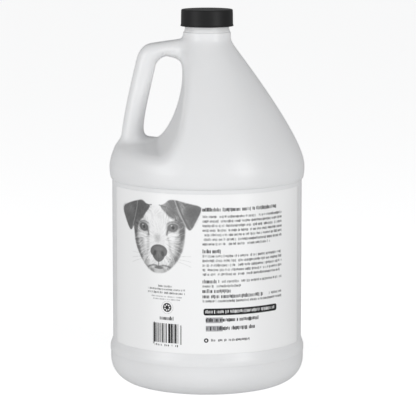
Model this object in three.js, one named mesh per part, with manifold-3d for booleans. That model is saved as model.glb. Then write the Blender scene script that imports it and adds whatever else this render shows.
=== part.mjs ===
// A round gallon bottle for shampoo: a blow-moulded bottle with a hollow through handle,
// a screw cap, the foam liner inside the cap, and a label on the back and on the front.
// Millimetres, +Z up. The origin is the centre of the base, on the surface that the bottle
// stands on. The handle is on the -X side. The back label faces -Y and the front label +Y.

import * as THREE from "three";
import { mergeVertices } from "three/addons/utils/BufferGeometryUtils.js";
import Module from "manifold-3d";

const wasm = await Module();
wasm.setup();

// ---------------------------------------------------------------- driving dimensions

// The body, from the ground up. The panel is the straight wall that carries the labels, and
// the heel and the shoulder stand proud of it, so that the labels don't rub.
const panelRadius = 76.1;
const guardDepth = 2.1;
const wall = 1.1;
const standWidth = 4;
const pushUpHeight = 5;
const pushUpSlope = 5;
const heelRadius = 19.5;
const heelWallHeight = 9;
const heelStepHeight = 7.2;
const panelHeight = 129.7;
const guardHeight = 9.6;

// The shoulder is one curve that leaves the widest ring upright and ends as a straight cone.
const shoulderHeight = 91.8;
const shoulderUpright = 18.2;
const shoulderCone = 31.4;
const coneAngle = THREE.MathUtils.degToRad(36.7);
const neckRootSpread = 5.7;
const neckRootHeight = 10.2;

// The neck: a plain collar, a foot ring, and the finish that the cap screws onto.
const neckRadius = 17.6;
const neckWall = 1.8;
const collarProud = 1.4;
const collarHeight = 5;
const collarEdge = 0.5;
const neckFootProud = 0.5;
const neckFootHeight = 2;
const finishHeight = 13;
const lipRound = 0.6;

// The screw thread, right-handed, and what each side of it measures.
const threadPitch = 25.4 / 6;
const threadTurns = 1.25;
const bottleThreadDepth = 1.2;
const bottleThreadBase = 2;
const bottleThreadCrest = 1;
const capThreadDepth = 1.3;
const capThreadBase = 1.6;
const capThreadCrest = 0.8;
const threadStartDrop = 2.1;
const threadRoot = 0.5;

// The handle and the space for the fingers behind it.
const handleWidth = 24;
const handleThickness = 16.7;
const handleEdge = 5.4;
const barThickness = 12.4;
const pocketSideDraft = Math.tan(THREE.MathUtils.degToRad(4.5));
const pocketFloorDraft = Math.tan(THREE.MathUtils.degToRad(4));

// The cap and its liner.
const capSkirtHeight = 11.9;
const capTopThickness = 1.4;
const capWall = 1.4;
const capRimProud = 0.35;
const capRimHeight = 1;
const capEdge = 0.9;
const linerThickness = 0.9;

// The labels.
const labelThickness = 0.25;
const labelTopMargin = 4;
const labelBottomMargin = 1.5;
const labelHalfAngle = THREE.MathUtils.degToRad(71.4);

// Clearances between pieces.
const seatGap = 0.3;
const threadClearance = 0.6;

// How finely the round shapes are divided.
const roundSegments = 48;
const pocketSteps = 8;
const handleSteps = 4;
const threadStepsPerTurn = 24;

// ---------------------------------------------------------------- levels and radii

const guardRadius = panelRadius + guardDepth;
const heelTop = heelRadius + heelWallHeight;
const panelBottom = heelTop + heelStepHeight;
const panelTop = panelBottom + panelHeight;
const widest = panelTop + guardHeight;
const neckRoot = widest + shoulderHeight;
const collarRadius = neckRadius + collarProud;
const boreRadius = neckRadius - neckWall;
const neckRootRadius = collarRadius + neckRootSpread;
const collarBottom = neckRoot + neckRootHeight;
const collarTop = collarBottom + collarHeight;
const neckFootTop = collarTop + neckFootHeight;
const lip = neckFootTop + finishHeight;
const standOuter = guardRadius - heelRadius;
const standInner = standOuter - standWidth;

const labelHeight = panelHeight - labelTopMargin - labelBottomMargin;

const bottleThreadRadius = neckRadius + bottleThreadDepth;
const capBore = bottleThreadRadius + threadClearance;
const capRadius = capBore + capWall;
const linerBottom = lip + seatGap;
const capCeiling = linerBottom + linerThickness + seatGap;
const capTop = capCeiling + capTopThickness;
const capRim = capCeiling - capSkirtHeight;

// ---------------------------------------------------------------- solids and outlines

// A point of an outline or a profile.
function at(x, y) {
  return new THREE.Vector2(x, y);
}

// A closed geometry as a manifold solid, with its shared corners merged.
function solidOf(geometry) {
  const bare = geometry.clone();
  bare.deleteAttribute("normal");
  bare.deleteAttribute("uv");
  const merged = mergeVertices(bare, 1e-4);
  const corners = [];
  for (let i = 0; i < merged.index.count; i += 3) {
    const [a, b, c] = [0, 1, 2].map((k) => merged.index.getX(i + k));
    if (a !== b && b !== c && c !== a) corners.push(a, b, c);
  }
  const mesh = new wasm.Mesh({
    numProp: 3,
    vertProperties: new Float32Array(merged.attributes.position.array),
    triVerts: new Uint32Array(corners),
  });
  return new wasm.Manifold(mesh);
}

// A manifold solid as a geometry with flat faces.
function geometryOf(solid) {
  const mesh = solid.getMesh();
  const geometry = new THREE.BufferGeometry();
  geometry.setAttribute("position", new THREE.BufferAttribute(mesh.vertProperties, 3));
  geometry.setIndex(new THREE.BufferAttribute(mesh.triVerts, 1));
  const faceted = geometry.toNonIndexed();
  faceted.computeVertexNormals();
  return faceted;
}

// A profile of radius and height, turned about the Z axis.
function turned(profile) {
  return new THREE.LatheGeometry(profile, roundSegments).rotateX(Math.PI / 2);
}

// An outline moved by a distance to the left of the way that it runs.
function movedOutline(points, distance, closed) {
  const last = points.length - 1;
  return points.map((point, i) => {
    const before = i > 0 ? points[i - 1] : closed ? points[last] : point;
    const after = i < last ? points[i + 1] : closed ? points[0] : point;
    const directions = [];
    if (before !== point) directions.push(point.clone().sub(before).normalize());
    if (after !== point) directions.push(after.clone().sub(point).normalize());
    const sides = directions.map((d) => at(-d.y, d.x));
    const side = sides.reduce((sum, s) => sum.clone().add(s)).normalize();
    return point.clone().addScaledVector(side, distance / side.dot(sides[0]));
  });
}

// ---------------------------------------------------------------- the body's profile

// Half of the outer shape, from the centre of the base up to the collar. Each curve of it is
// divided as finely as its bend needs.
function bodyProfile() {
  const heel = new THREE.EllipseCurve(
    standOuter, heelRadius, heelRadius, heelRadius, -Math.PI / 2, 0, false,
  );
  const heelStep = new THREE.QuadraticBezierCurve(
    at(guardRadius, heelTop),
    at(guardRadius, heelTop + heelStepHeight * 0.7),
    at(panelRadius, panelBottom),
  );
  const guard = new THREE.QuadraticBezierCurve(
    at(panelRadius, panelTop),
    at(guardRadius, panelTop + guardHeight * 0.1),
    at(guardRadius, widest),
  );
  const coneSpread = shoulderCone * Math.sin(coneAngle);
  const coneDrop = shoulderCone * Math.cos(coneAngle);
  const shoulder = new THREE.CubicBezierCurve(
    at(guardRadius, widest),
    at(guardRadius, widest + shoulderUpright),
    at(neckRootRadius + coneSpread, neckRoot - coneDrop),
    at(neckRootRadius, neckRoot),
  );
  const root = new THREE.QuadraticBezierCurve(
    at(neckRootRadius, neckRoot),
    at(collarRadius, neckRoot + neckRootSpread / Math.tan(coneAngle)),
    at(collarRadius, collarBottom),
  );
  return withoutRepeats([
    at(0, pushUpHeight),
    at(standInner - pushUpSlope, pushUpHeight),
    at(standInner, 0),
    ...heel.getPoints(6),
    ...heelStep.getPoints(3),
    ...guard.getPoints(3),
    ...shoulder.getPoints(10),
    ...root.getPoints(4),
    at(collarRadius, collarTop - collarEdge),
  ]);
}

// Points of a path, with those that lie on the one before them left out.
function withoutRepeats(points) {
  return points.filter((point, i) => i === 0 || point.distanceTo(points[i - 1]) > 1e-6);
}

// The outer shape with the collar, the neck and its lip.
function outerProfile() {
  const footRadius = neckRadius + neckFootProud;
  return [
    ...bodyProfile(),
    at(collarRadius - collarEdge, collarTop),
    at(footRadius, collarTop),
    at(footRadius, neckFootTop - neckFootProud),
    at(neckRadius, neckFootTop),
    at(neckRadius, lip - lipRound),
    at(neckRadius - lipRound, lip),
    at(0, lip),
  ];
}

// The hollow: the outer shape less the wall, then the bore of the neck, open at the mouth.
function innerProfile() {
  const hollow = movedOutline(bodyProfile(), wall, false);
  const boreStart = collarTop - wall;
  const below = hollow.filter((point) => point.y < collarBottom);
  below[0].x = 0;
  return [
    ...below,
    at(boreRadius, boreStart),
    at(boreRadius, lip + 1),
    at(0, lip + 1),
  ];
}

// ---------------------------------------------------------------- the handle

// Points of the handle that the neck places, and points that the shoulder places. Both are
// x and z in the handle's plane: the top ones from the collar, the foot ones from the
// widest ring of the shoulder.
function fromCollar(outward, down) {
  return at(-collarRadius - outward, collarTop - down);
}

function fromShoulder(inward, up) {
  return at(-guardRadius + inward, widest + up);
}

const holeTop = fromCollar(12, 6.6 + barThickness);
const holeBottom = fromShoulder(34.7, 21.2);
const holeRight = fromCollar(0.7, 33);
const gripOuterTop = fromCollar(37.5, 22.7);
const gripOuterFoot = fromShoulder(9.6, 24);
const gripInnerTop = fromCollar(21.9, 26.7);
const gripInnerFoot = at(gripOuterFoot.x + handleThickness + 1, gripOuterFoot.y + 5.5);
const ledgeLevel = holeBottom.y - 0.8;
const footDepth = 11;
const rootInset = 12;

// The edge of the finger hole on the handle's side, from the hole's bottom to its top.
function gripSide(path) {
  path.bezierCurveTo(
    holeBottom.x - 5, holeBottom.y,
    gripInnerFoot.x, gripInnerFoot.y - 5,
    gripInnerFoot.x, gripInnerFoot.y,
  );
  path.bezierCurveTo(
    gripInnerFoot.x + 0.3, gripInnerFoot.y + 9.5,
    gripInnerTop.x - 6.7, gripInnerTop.y - 28.8,
    gripInnerTop.x, gripInnerTop.y,
  );
  path.bezierCurveTo(
    gripInnerTop.x + 1.3, gripInnerTop.y + 4.7,
    holeTop.x - 5, holeTop.y,
    holeTop.x, holeTop.y,
  );
}

// The edge of the finger hole on the body's side, from the hole's top to its bottom.
function bodySide(path) {
  path.bezierCurveTo(
    holeTop.x + 8, holeTop.y,
    holeRight.x, holeRight.y + 11,
    holeRight.x, holeRight.y,
  );
  path.bezierCurveTo(
    holeRight.x, holeRight.y - 24,
    holeBottom.x + 10.5, holeBottom.y,
    holeBottom.x, holeBottom.y,
  );
}

// The handle's own outline: along its top, down its outer edge, through the shoulder, up its
// inner edge and back into the neck.
function handleOutline() {
  const shape = new THREE.Shape();
  const root = fromCollar(-rootInset, 2);
  shape.moveTo(root.x, root.y);
  shape.lineTo(-collarRadius, root.y);
  const topStart = fromCollar(4.5, 6);
  shape.quadraticCurveTo(-collarRadius - 1.5, topStart.y + 0.3, topStart.x, topStart.y);
  const topEnd = fromCollar(25, 9.1);
  shape.lineTo(topEnd.x, topEnd.y);
  shape.bezierCurveTo(
    topEnd.x - 7.5, topEnd.y - 1.3,
    gripOuterTop.x + 2, gripOuterTop.y + 7.2,
    gripOuterTop.x, gripOuterTop.y,
  );
  shape.quadraticCurveTo(
    gripOuterFoot.x + 1.8, gripOuterFoot.y + 17.7,
    gripOuterFoot.x, gripOuterFoot.y,
  );
  shape.lineTo(gripOuterFoot.x, ledgeLevel - footDepth);
  shape.lineTo(holeBottom.x, ledgeLevel - footDepth);
  shape.lineTo(holeBottom.x, holeBottom.y);
  gripSide(shape);
  shape.lineTo(-collarRadius - 7, holeTop.y);
  shape.lineTo(root.x, holeTop.y);
  return withoutRepeats(shape.getPoints(handleSteps));
}

// The handle's solid, smaller all round by an inset. Its long edges are rounded.
function handleSolid(inset) {
  const geometry = new THREE.ExtrudeGeometry(new THREE.Shape(handleOutline()), {
    depth: handleWidth - 2 * handleEdge,
    bevelSize: handleEdge - inset,
    bevelThickness: handleEdge - inset,
    bevelOffset: -handleEdge,
    bevelSegments: 3,
  });
  geometry.translate(0, 0, handleEdge - handleWidth / 2);
  geometry.rotateX(Math.PI / 2);
  return solidOf(geometry);
}

// What the mould takes out of the shoulder beside the handle. Its sides and floor slope away
// from the handle's plane, so that the two halves of the mould can open.
function pocketSolid(margin) {
  const shape = new THREE.Shape();
  const outside = -guardRadius - 20;
  shape.moveTo(outside, ledgeLevel);
  shape.lineTo(outside, holeTop.y);
  shape.lineTo(holeTop.x, holeTop.y);
  bodySide(shape);
  shape.lineTo(gripInnerFoot.x, ledgeLevel);
  const points = withoutRepeats(shape.getPoints(pocketSteps));
  const grown = movedOutline(points, margin, true);
  const reach = guardRadius + 10;
  const geometry = new THREE.ExtrudeGeometry(new THREE.Shape(grown), {
    depth: 2 * reach,
    steps: 2,
    bevelEnabled: false,
  });
  geometry.translate(0, 0, -reach);
  geometry.rotateX(Math.PI / 2);
  const position = geometry.attributes.position;
  for (let i = 0; i < position.count; i += 1) {
    const away = Math.abs(position.getY(i));
    position.setX(i, position.getX(i) + away * pocketSideDraft);
    position.setZ(i, position.getZ(i) - away * pocketFloorDraft);
  }
  return solidOf(geometry);
}

// ---------------------------------------------------------------- the screw thread

// A helix whose frame keeps the thread's section upright: x outward and y down the axis.
class ThreadPath extends THREE.Curve {
  constructor(radius, start, phase) {
    super();
    Object.assign(this, { radius, start, phase });
  }

  angle(t) {
    return this.phase + t * threadTurns * 2 * Math.PI;
  }

  getPoint(t) {
    const angle = this.angle(t);
    const height = this.start + t * threadTurns * threadPitch;
    return new THREE.Vector3(this.radius * Math.cos(angle), this.radius * Math.sin(angle), height);
  }

  getPointAt(t) {
    return this.getPoint(t);
  }

  computeFrenetFrames(segments) {
    const frames = { tangents: [], normals: [], binormals: [] };
    for (let i = 0; i <= segments; i += 1) {
      const angle = this.angle(i / segments);
      frames.tangents.push(new THREE.Vector3(-Math.sin(angle), Math.cos(angle), 0));
      frames.normals.push(new THREE.Vector3(Math.cos(angle), Math.sin(angle), 0));
      frames.binormals.push(new THREE.Vector3(0, 0, -1));
    }
    return frames;
  }
}

// One ridge of the thread, wide at its root and narrow at its crest. The root reaches into the
// wall that carries it, and depth is negative where the ridge points inward.
function threadSolid(wallRadius, depth, base, crest, start, phase) {
  const root = -Math.sign(depth) * threadRoot;
  const section = new THREE.Shape([
    at(root, -base / 2),
    at(depth, -crest / 2),
    at(depth, crest / 2),
    at(root, base / 2),
  ]);
  const geometry = new THREE.ExtrudeGeometry(section, {
    steps: Math.round(threadTurns * threadStepsPerTurn),
    extrudePath: new ThreadPath(wallRadius, start, phase),
    bevelEnabled: false,
  });
  return solidOf(geometry);
}

const bottleThreadEnd = lip - threadStartDrop;
const bottleThreadStart = bottleThreadEnd - threadTurns * threadPitch;
const capThreadLag = (bottleThreadBase + capThreadBase) / 2 + seatGap;
const bottleThreadPhase = Math.PI / roundSegments;
const capThreadLead = Math.PI / 2;
const capThreadPhase = bottleThreadPhase + capThreadLead;
const capThreadStart = bottleThreadStart - capThreadLag + threadPitch * capThreadLead / (2 * Math.PI);

// ---------------------------------------------------------------- the pieces

function bottle() {
  const outer = solidOf(turned(outerProfile())).subtract(pocketSolid(0)).add(handleSolid(0));
  const inner = solidOf(turned(innerProfile())).subtract(pocketSolid(wall)).add(handleSolid(wall));
  const thread = threadSolid(
    neckRadius, bottleThreadDepth, bottleThreadBase, bottleThreadCrest,
    bottleThreadStart, bottleThreadPhase,
  );
  return geometryOf(outer.add(thread).subtract(inner));
}

function screwCap() {
  const shell = turned([
    at(0, capCeiling),
    at(capBore, capCeiling),
    at(capBore, capRim),
    at(capRadius + capRimProud, capRim),
    at(capRadius + capRimProud, capRim + capRimHeight),
    at(capRadius, capRim + capRimHeight + capRimProud),
    at(capRadius, capTop - capEdge),
    at(capRadius - capEdge * 0.3, capTop - capEdge * 0.3),
    at(capRadius - capEdge, capTop),
    at(0, capTop),
  ]);
  const thread = threadSolid(
    capBore, -capThreadDepth, capThreadBase, capThreadCrest,
    capThreadStart, capThreadPhase,
  );
  return geometryOf(solidOf(shell).add(thread));
}

function capLiner() {
  const radius = capBore - seatGap;
  return turned([
    at(0, linerBottom),
    at(radius, linerBottom),
    at(radius, linerBottom + linerThickness),
    at(0, linerBottom + linerThickness),
  ]);
}

// A label facing +Y, or -Y with a half turn: part of a thin ring that stands off the panel.
function label(turn) {
  const inside = panelRadius + seatGap;
  const middle = Math.PI / 2 + turn;
  const [from, to] = [middle - labelHalfAngle, middle + labelHalfAngle];
  const shape = new THREE.Shape();
  shape.absarc(0, 0, inside + labelThickness, from, to, false);
  shape.absarc(0, 0, inside, to, from, true);
  const geometry = new THREE.ExtrudeGeometry(shape, {
    depth: labelHeight,
    curveSegments: Math.round(roundSegments * labelHalfAngle / Math.PI / 2) * 2,
    bevelEnabled: false,
  });
  return geometry.translate(0, 0, panelTop - labelTopMargin - labelHeight);
}

// ---------------------------------------------------------------- the assembly

const whitePlastic = new THREE.MeshStandardMaterial({ color: 0xe4e5e7, roughness: 0.42, metalness: 0 });
const blackPlastic = new THREE.MeshStandardMaterial({ color: 0x1e1e1f, roughness: 0.55, metalness: 0 });
const whiteFoam = new THREE.MeshStandardMaterial({ color: 0xefefec, roughness: 0.85, metalness: 0 });
const labelFilm = new THREE.MeshStandardMaterial({ color: 0xf6f6f6, roughness: 0.35, metalness: 0 });

function piece(name, geometry, material) {
  const mesh = new THREE.Mesh(geometry, material);
  mesh.name = name;
  return mesh;
}

const object = new THREE.Group();
object.add(piece("bottle", bottle(), whitePlastic));
object.add(piece("screw_cap", screwCap(), blackPlastic));
object.add(piece("cap_liner", capLiner(), whiteFoam));
object.add(piece("back_label", label(Math.PI), labelFilm));
object.add(piece("front_label", label(0), labelFilm));

export default object;
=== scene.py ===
# %% [markdown]
# # A gallon bottle of pet shampoo
# The object is a blow-moulded white jug with a hollow handle, a black screw cap with a foam
# liner, and a printed label on the back and on the front. Its sizes and its moving cap come
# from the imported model, which is loaded first and never moved. Everything made here replaces
# one of its plain solids with a finer piece in the same place.

# %% Load the frame
import math

import bmesh
import bpy
import numpy as np
from mathutils import Matrix, Vector


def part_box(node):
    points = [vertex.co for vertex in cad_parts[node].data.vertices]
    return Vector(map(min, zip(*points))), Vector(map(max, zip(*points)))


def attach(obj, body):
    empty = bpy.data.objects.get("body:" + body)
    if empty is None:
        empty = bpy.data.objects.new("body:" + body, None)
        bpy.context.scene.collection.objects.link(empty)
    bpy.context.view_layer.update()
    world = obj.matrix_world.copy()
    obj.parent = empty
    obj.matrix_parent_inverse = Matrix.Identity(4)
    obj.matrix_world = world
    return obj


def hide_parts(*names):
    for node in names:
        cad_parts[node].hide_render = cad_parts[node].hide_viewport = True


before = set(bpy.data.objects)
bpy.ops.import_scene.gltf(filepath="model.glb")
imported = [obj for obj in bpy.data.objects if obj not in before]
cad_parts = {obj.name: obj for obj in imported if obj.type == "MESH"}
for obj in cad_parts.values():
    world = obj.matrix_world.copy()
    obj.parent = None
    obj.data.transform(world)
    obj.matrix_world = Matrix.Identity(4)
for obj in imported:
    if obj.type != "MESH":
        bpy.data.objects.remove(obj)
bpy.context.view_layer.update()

MM = 0.001
_, bottle_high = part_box("bottle")
cap_low, cap_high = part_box("screw_cap")
liner_low, liner_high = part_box("cap_liner")
_, label_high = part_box("back_label")
print("bottle", bottle_high.x * 2000, "mm across,", cap_high.z * 1000, "mm to the top of the cap")

# %% [markdown]
# ## The camera
# A long lens from nearly two metres keeps the jug's sides almost parallel, as in a catalogue
# picture. The camera looks slightly down, so that the panel's edges read as flat ellipses.

# %% Place the camera
CAMERA_DISTANCE = 1.9272
CAMERA_ELEVATION = math.radians(8.44)
CAMERA_LENS = 207.1
AIM = Vector((0.0008, 0.0, 0.13995))

camera_data = bpy.data.cameras.new("camera")
camera_data.lens = CAMERA_LENS
camera_data.sensor_width = 36.0
camera = bpy.data.objects.new("camera", camera_data)
bpy.context.scene.collection.objects.link(camera)
back = Vector((0.0, -math.cos(CAMERA_ELEVATION), math.sin(CAMERA_ELEVATION)))
camera.location = AIM + back * CAMERA_DISTANCE
camera.rotation_mode = "QUATERNION"
camera.rotation_quaternion = (-back).to_track_quat("-Z", "Y")
bpy.context.scene.camera = camera
print("camera at", [round(c, 4) for c in camera.location])

# %% [markdown]
# ## The studio
# A pale floor runs out of sight behind the jug. The room is a soft dome, brighter in front
# than at the sides, so that the round body darkens gently towards its outline. Two tall
# softboxes in front, left and right, leave the upright sheen that satin plastic shows.

# %% Build the studio
scene = bpy.context.scene
scene.view_settings.view_transform = "Standard"
scene.view_settings.look = "None"


def new_material(name, **settings):
    """A material with one shader. A setting is the value of one of the shader's inputs."""
    material = bpy.data.materials.new(name)
    material.use_nodes = True
    nodes, link = material.node_tree.nodes, material.node_tree.links.new
    nodes.clear()
    shader = nodes.new("ShaderNodeBsdfPrincipled")
    for key, value in settings.items():
        shader.inputs[key.replace("_", " ")].default_value = value
    link(shader.outputs[0], nodes.new("ShaderNodeOutputMaterial").inputs["Surface"])
    return material, shader, nodes.new, link


def texture(node, link, kind, **settings):
    """A texture on the piece's own coordinates."""
    made = node("ShaderNodeTex" + kind)
    for key, value in settings.items():
        made.inputs[key].default_value = value
    link(node("ShaderNodeTexCoord").outputs["Object"], made.inputs["Vector"])
    return made


def add_bump(node, link, shader, height, strength, distance):
    """Lets a texture's output tilt the surface."""
    bump = node("ShaderNodeBump")
    bump.inputs["Strength"].default_value = strength
    bump.inputs["Distance"].default_value = distance
    link(height, bump.inputs["Height"])
    link(bump.outputs[0], shader.inputs["Normal"])
    return bump


def grey(value):
    return (value, value, value, 1.0)


def studio_world():
    """A soft dome. Each side of it has its own brightness, which fades as a squared cosine."""
    world = bpy.data.worlds.new("studio")
    scene.world = world
    world.use_nodes = True
    nodes, link = world.node_tree.nodes, world.node_tree.links.new
    nodes.clear()
    place = nodes.new("ShaderNodeTexCoord")
    split = nodes.new("ShaderNodeSeparateXYZ")
    link(place.outputs["Generated"], split.inputs[0])

    def math_node(operation, first, second):
        node = nodes.new("ShaderNodeMath")
        node.operation = operation
        for socket, value in zip(node.inputs, (first, second)):
            if isinstance(value, bpy.types.NodeSocket):
                link(value, socket)
            else:
                socket.default_value = value
        return node.outputs[0]

    total = 0.0
    for axis, sign, strength in DOME:
        toward = math_node("MAXIMUM", math_node("MULTIPLY", split.outputs[axis], sign), 0.0)
        part = math_node("MULTIPLY", math_node("MULTIPLY", toward, toward), strength)
        total = math_node("ADD", total, part)
    background = nodes.new("ShaderNodeBackground")
    background.inputs["Color"].default_value = (0.985, 0.992, 1.0, 1.0)
    link(total, background.inputs["Strength"])
    output = nodes.new("ShaderNodeOutputWorld")
    link(background.outputs[0], output.inputs["Surface"])


def softbox(name, azimuth, elevation, distance, width, height, watts):
    """A soft rectangular lamp that faces the jug, at an azimuth to the right of the camera."""
    lamp = bpy.data.lights.new(name, "AREA")
    lamp.shape = "RECTANGLE"
    lamp.size, lamp.size_y = width, height
    lamp.energy = watts
    obj = bpy.data.objects.new(name, lamp)
    scene.collection.objects.link(obj)
    a, e = math.radians(azimuth), math.radians(elevation)
    way = Vector((math.sin(a) * math.cos(e), -math.cos(a) * math.cos(e), math.sin(e)))
    obj.location = AIM + way * distance
    obj.rotation_mode = "QUATERNION"
    obj.rotation_quaternion = way.to_track_quat("Z", "Y")
    return obj


def studio_floor():
    """A wide white floor. It takes the jug's shadow, and it doesn't light the jug."""
    bpy.ops.mesh.primitive_plane_add(size=60.0)
    floor = bpy.context.object
    floor.name = "studio_floor"
    material = new_material(
        "white_floor", Base_Color=grey(0.82), Roughness=0.9, Specular_IOR_Level=0.0,
        Emission_Color=grey(1.0), Emission_Strength=FLOOR_GLOW,
    )[0]
    floor.data.materials.append(material)
    floor.visible_diffuse = False
    floor.visible_glossy = False
    return floor


DOME = (
    ("Y", -1.0, 0.86),
    ("Y", 1.0, 0.36),
    ("X", -1.0, 0.56),
    ("X", 1.0, 0.44),
    ("Z", 1.0, 0.28),
    ("Z", -1.0, 0.78),
)
FLOOR_GLOW = 0.6
studio_world()
studio_floor()
for name, azimuth, width, watts in (
    ("softbox_left", -53, 0.4, 10.0),
    ("softbox_right", 44, 0.3, 11.0),
):
    softbox(name, azimuth, elevation=12, distance=1.6, width=width, height=1.3, watts=watts)
print("studio ready")

# %% [markdown]
# ## The jug's wall as a field
# The body is a lathe shape, but the handle grows out of it through soft fillets, and the
# mould has taken a pocket out of the shoulder beside the handle. A field describes all of this
# at once: a function that is negative in the plastic's outer volume, zero on its surface, and
# about the distance to it elsewhere. Shapes are joined and cut with a soft minimum and a soft
# maximum, which leave a fillet of a chosen size where a mould would have one.

# %% The profile of the body
GUARD_RADIUS = bottle_high.x / MM
LIP = bottle_high.z / MM
PANEL_RADIUS = GUARD_RADIUS - 2.1
WALL = 1.1
STAND_OUTER = GUARD_RADIUS - 19.5
STAND_WIDTH = 4.0
PUSH_UP = 5.0
HEEL_RADIUS = 19.5
HEEL_BEAD = 0.4
HEEL_BEAD_BOTTOM = 25.0
HEEL_TOP = 28.5
PANEL_BOTTOM = 35.7
PANEL_TOP = 164.9
WIDEST = 175.0
NECK_ROOT = 266.8
NECK_ROOT_RADIUS = 24.7
CONE_ANGLE = math.radians(36.7)
COLLAR_RADIUS = 19.0
COLLAR_BOTTOM = 277.0
COLLAR_TOP = 282.0
NECK_RADIUS = 17.6
BORE_RADIUS = 15.8


def bezier(corners, steps):
    """Points of a Bezier curve through its first and last corner, steps + 1 of them."""
    t = np.linspace(0.0, 1.0, steps + 1)[:, None]
    corners = [np.asarray(c, float) for c in corners]
    while len(corners) > 1:
        corners = [a + (b - a) * t for a, b in zip(corners, corners[1:])]
    return np.broadcast_to(corners[0], (steps + 1, 2)).copy()


def shoulder_profile(steps):
    """Radius and height from the widest ring over the cone to the foot of the collar."""
    cone = (
        (GUARD_RADIUS, WIDEST),
        (GUARD_RADIUS, WIDEST + 18.2),
        (NECK_ROOT_RADIUS + 31.4 * math.sin(CONE_ANGLE), NECK_ROOT - 31.4 * math.cos(CONE_ANGLE)),
        (NECK_ROOT_RADIUS, NECK_ROOT),
    )
    spread = NECK_ROOT_RADIUS - COLLAR_RADIUS
    root = (
        (NECK_ROOT_RADIUS, NECK_ROOT),
        (COLLAR_RADIUS, NECK_ROOT + spread / math.tan(CONE_ANGLE)),
        (COLLAR_RADIUS, COLLAR_BOTTOM),
    )
    return np.vstack([bezier(cone, steps)[:-1], bezier(root, steps // 4)])


SHOULDER = np.vstack([shoulder_profile(160), [(COLLAR_RADIUS, LIP)]])


def body_field(r, z):
    """About the distance outside the shoulder's lathe shape, for heights above the widest ring."""
    radius = np.interp(z, SHOULDER[:, 1], SHOULDER[:, 0])
    slope = np.gradient(SHOULDER[:, 0], SHOULDER[:, 1])
    lean = np.interp(z, SHOULDER[:, 1], slope)
    return (r - radius) / np.sqrt(1.0 + lean**2)


print("shoulder from", SHOULDER[0].round(1), "to", SHOULDER[-2].round(1))

# %% [markdown]
# ### The handle's side view
# Seen from the side, the handle is an arch: its outer edge leans with the shoulder, and the
# finger hole behind it is a long leaning oval. Both outlines are a few Bezier curves.

# %% The outlines of the handle and of the finger hole
HOLE_TOP = (-31.0, 263.0)
HOLE_RIGHT = (-19.7, 249.0)
HOLE_BOTTOM = (-43.5, 196.2)
GRIP_INNER_FOOT = (-50.9, 204.5)
GRIP_INNER_TOP = (-40.9, 255.3)
GRIP_OUTER_TOP = (-56.5, 259.3)
GRIP_OUTER_FOOT = (-68.5, 199.0)
LEDGE = 195.4


def corner(point, dx=0.0, dz=0.0):
    """A point moved a little, for the inner corners of a curve."""
    return (point[0] + dx, point[1] + dz)


def grip_side(steps):
    """The hole's edge on the handle's side, from the bottom of the hole to its top."""
    foot = (
        HOLE_BOTTOM,
        corner(HOLE_BOTTOM, dx=-5.0),
        corner(GRIP_INNER_FOOT, dz=-5.0),
        GRIP_INNER_FOOT,
    )
    leg = (
        GRIP_INNER_FOOT,
        corner(GRIP_INNER_FOOT, 0.3, 9.5),
        corner(GRIP_INNER_TOP, -6.7, -28.8),
        GRIP_INNER_TOP,
    )
    bend = (GRIP_INNER_TOP, corner(GRIP_INNER_TOP, 1.3, 4.7), corner(HOLE_TOP, dx=-3.5), HOLE_TOP)
    return np.vstack([bezier(foot, steps)[:-1], bezier(leg, 2 * steps)[:-1], bezier(bend, steps)])


def body_side(steps):
    """The hole's edge on the body's side, from the top of the hole to its bottom."""
    upper = (HOLE_TOP, corner(HOLE_TOP, dx=8.0), corner(HOLE_RIGHT, dz=10.5), HOLE_RIGHT)
    lower = (HOLE_RIGHT, corner(HOLE_RIGHT, dz=-24.0), corner(HOLE_BOTTOM, dx=10.5), HOLE_BOTTOM)
    return np.vstack([bezier(upper, steps)[:-1], bezier(lower, 3 * steps)])


def handle_outline(steps):
    """The arch: along its top, down its outer edge into the shoulder, and up its inner edge."""
    top = ((-23.5, 275.7), (-34.0, 274.4), (-44.0, 272.8))
    knuckle = ((-44.0, 272.8), (-51.3, 271.6), (-54.6, 266.5), GRIP_OUTER_TOP)
    leg = (GRIP_OUTER_TOP, (-66.9, 216.7), GRIP_OUTER_FOOT)
    return np.vstack([
        [(-8.0, 274.6), (-18.0, 275.4)],
        bezier(top, steps)[:-1],
        bezier(knuckle, 2 * steps)[:-1],
        bezier(leg, 3 * steps),
        [(-69.4, 186.0), (-46.0, 186.0), (-43.5, 190.0)],
        grip_side(steps),
        [(-24.0, 262.4), (-8.0, 260.0)],
    ])


def pocket_outline(steps):
    """What the mould takes away beside the handle: all that lies left of the hole's far edge."""
    return np.vstack([
        [(-120.0, LEDGE), (-120.0, HOLE_TOP[1])],
        body_side(steps),
        [(-50.0, LEDGE)],
    ])


def outline_field(x, z, outline):
    """The distance to a closed outline, negative inside it."""
    ends = np.roll(outline, -1, axis=0)
    nearest = np.full(x.shape, np.inf)
    side = np.ones(x.shape)
    for (ax, az), (bx, bz) in zip(outline, ends):
        ex, ez = bx - ax, bz - az
        wx, wz = x - ax, z - az
        t = np.clip((wx * ex + wz * ez) / (ex * ex + ez * ez), 0.0, 1.0)
        nearest = np.minimum(nearest, (wx - t * ex) ** 2 + (wz - t * ez) ** 2)
        above, below, left = z >= az, z < bz, ex * wz > ez * wx
        side = np.where((above & below & left) | ~(above | below | left), -side, side)
    return side * np.sqrt(nearest)


print("handle outline:", len(handle_outline(8)), "points")

# %% [markdown]
# ### Joining body, pocket and handle
# The handle's cross-section is the side view given a width with generous round edges. The
# pocket's walls open outwards by a few degrees, because the two halves of the mould have to
# pull away from it. Its floor falls and its upper end rises a little on the way out.

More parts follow.
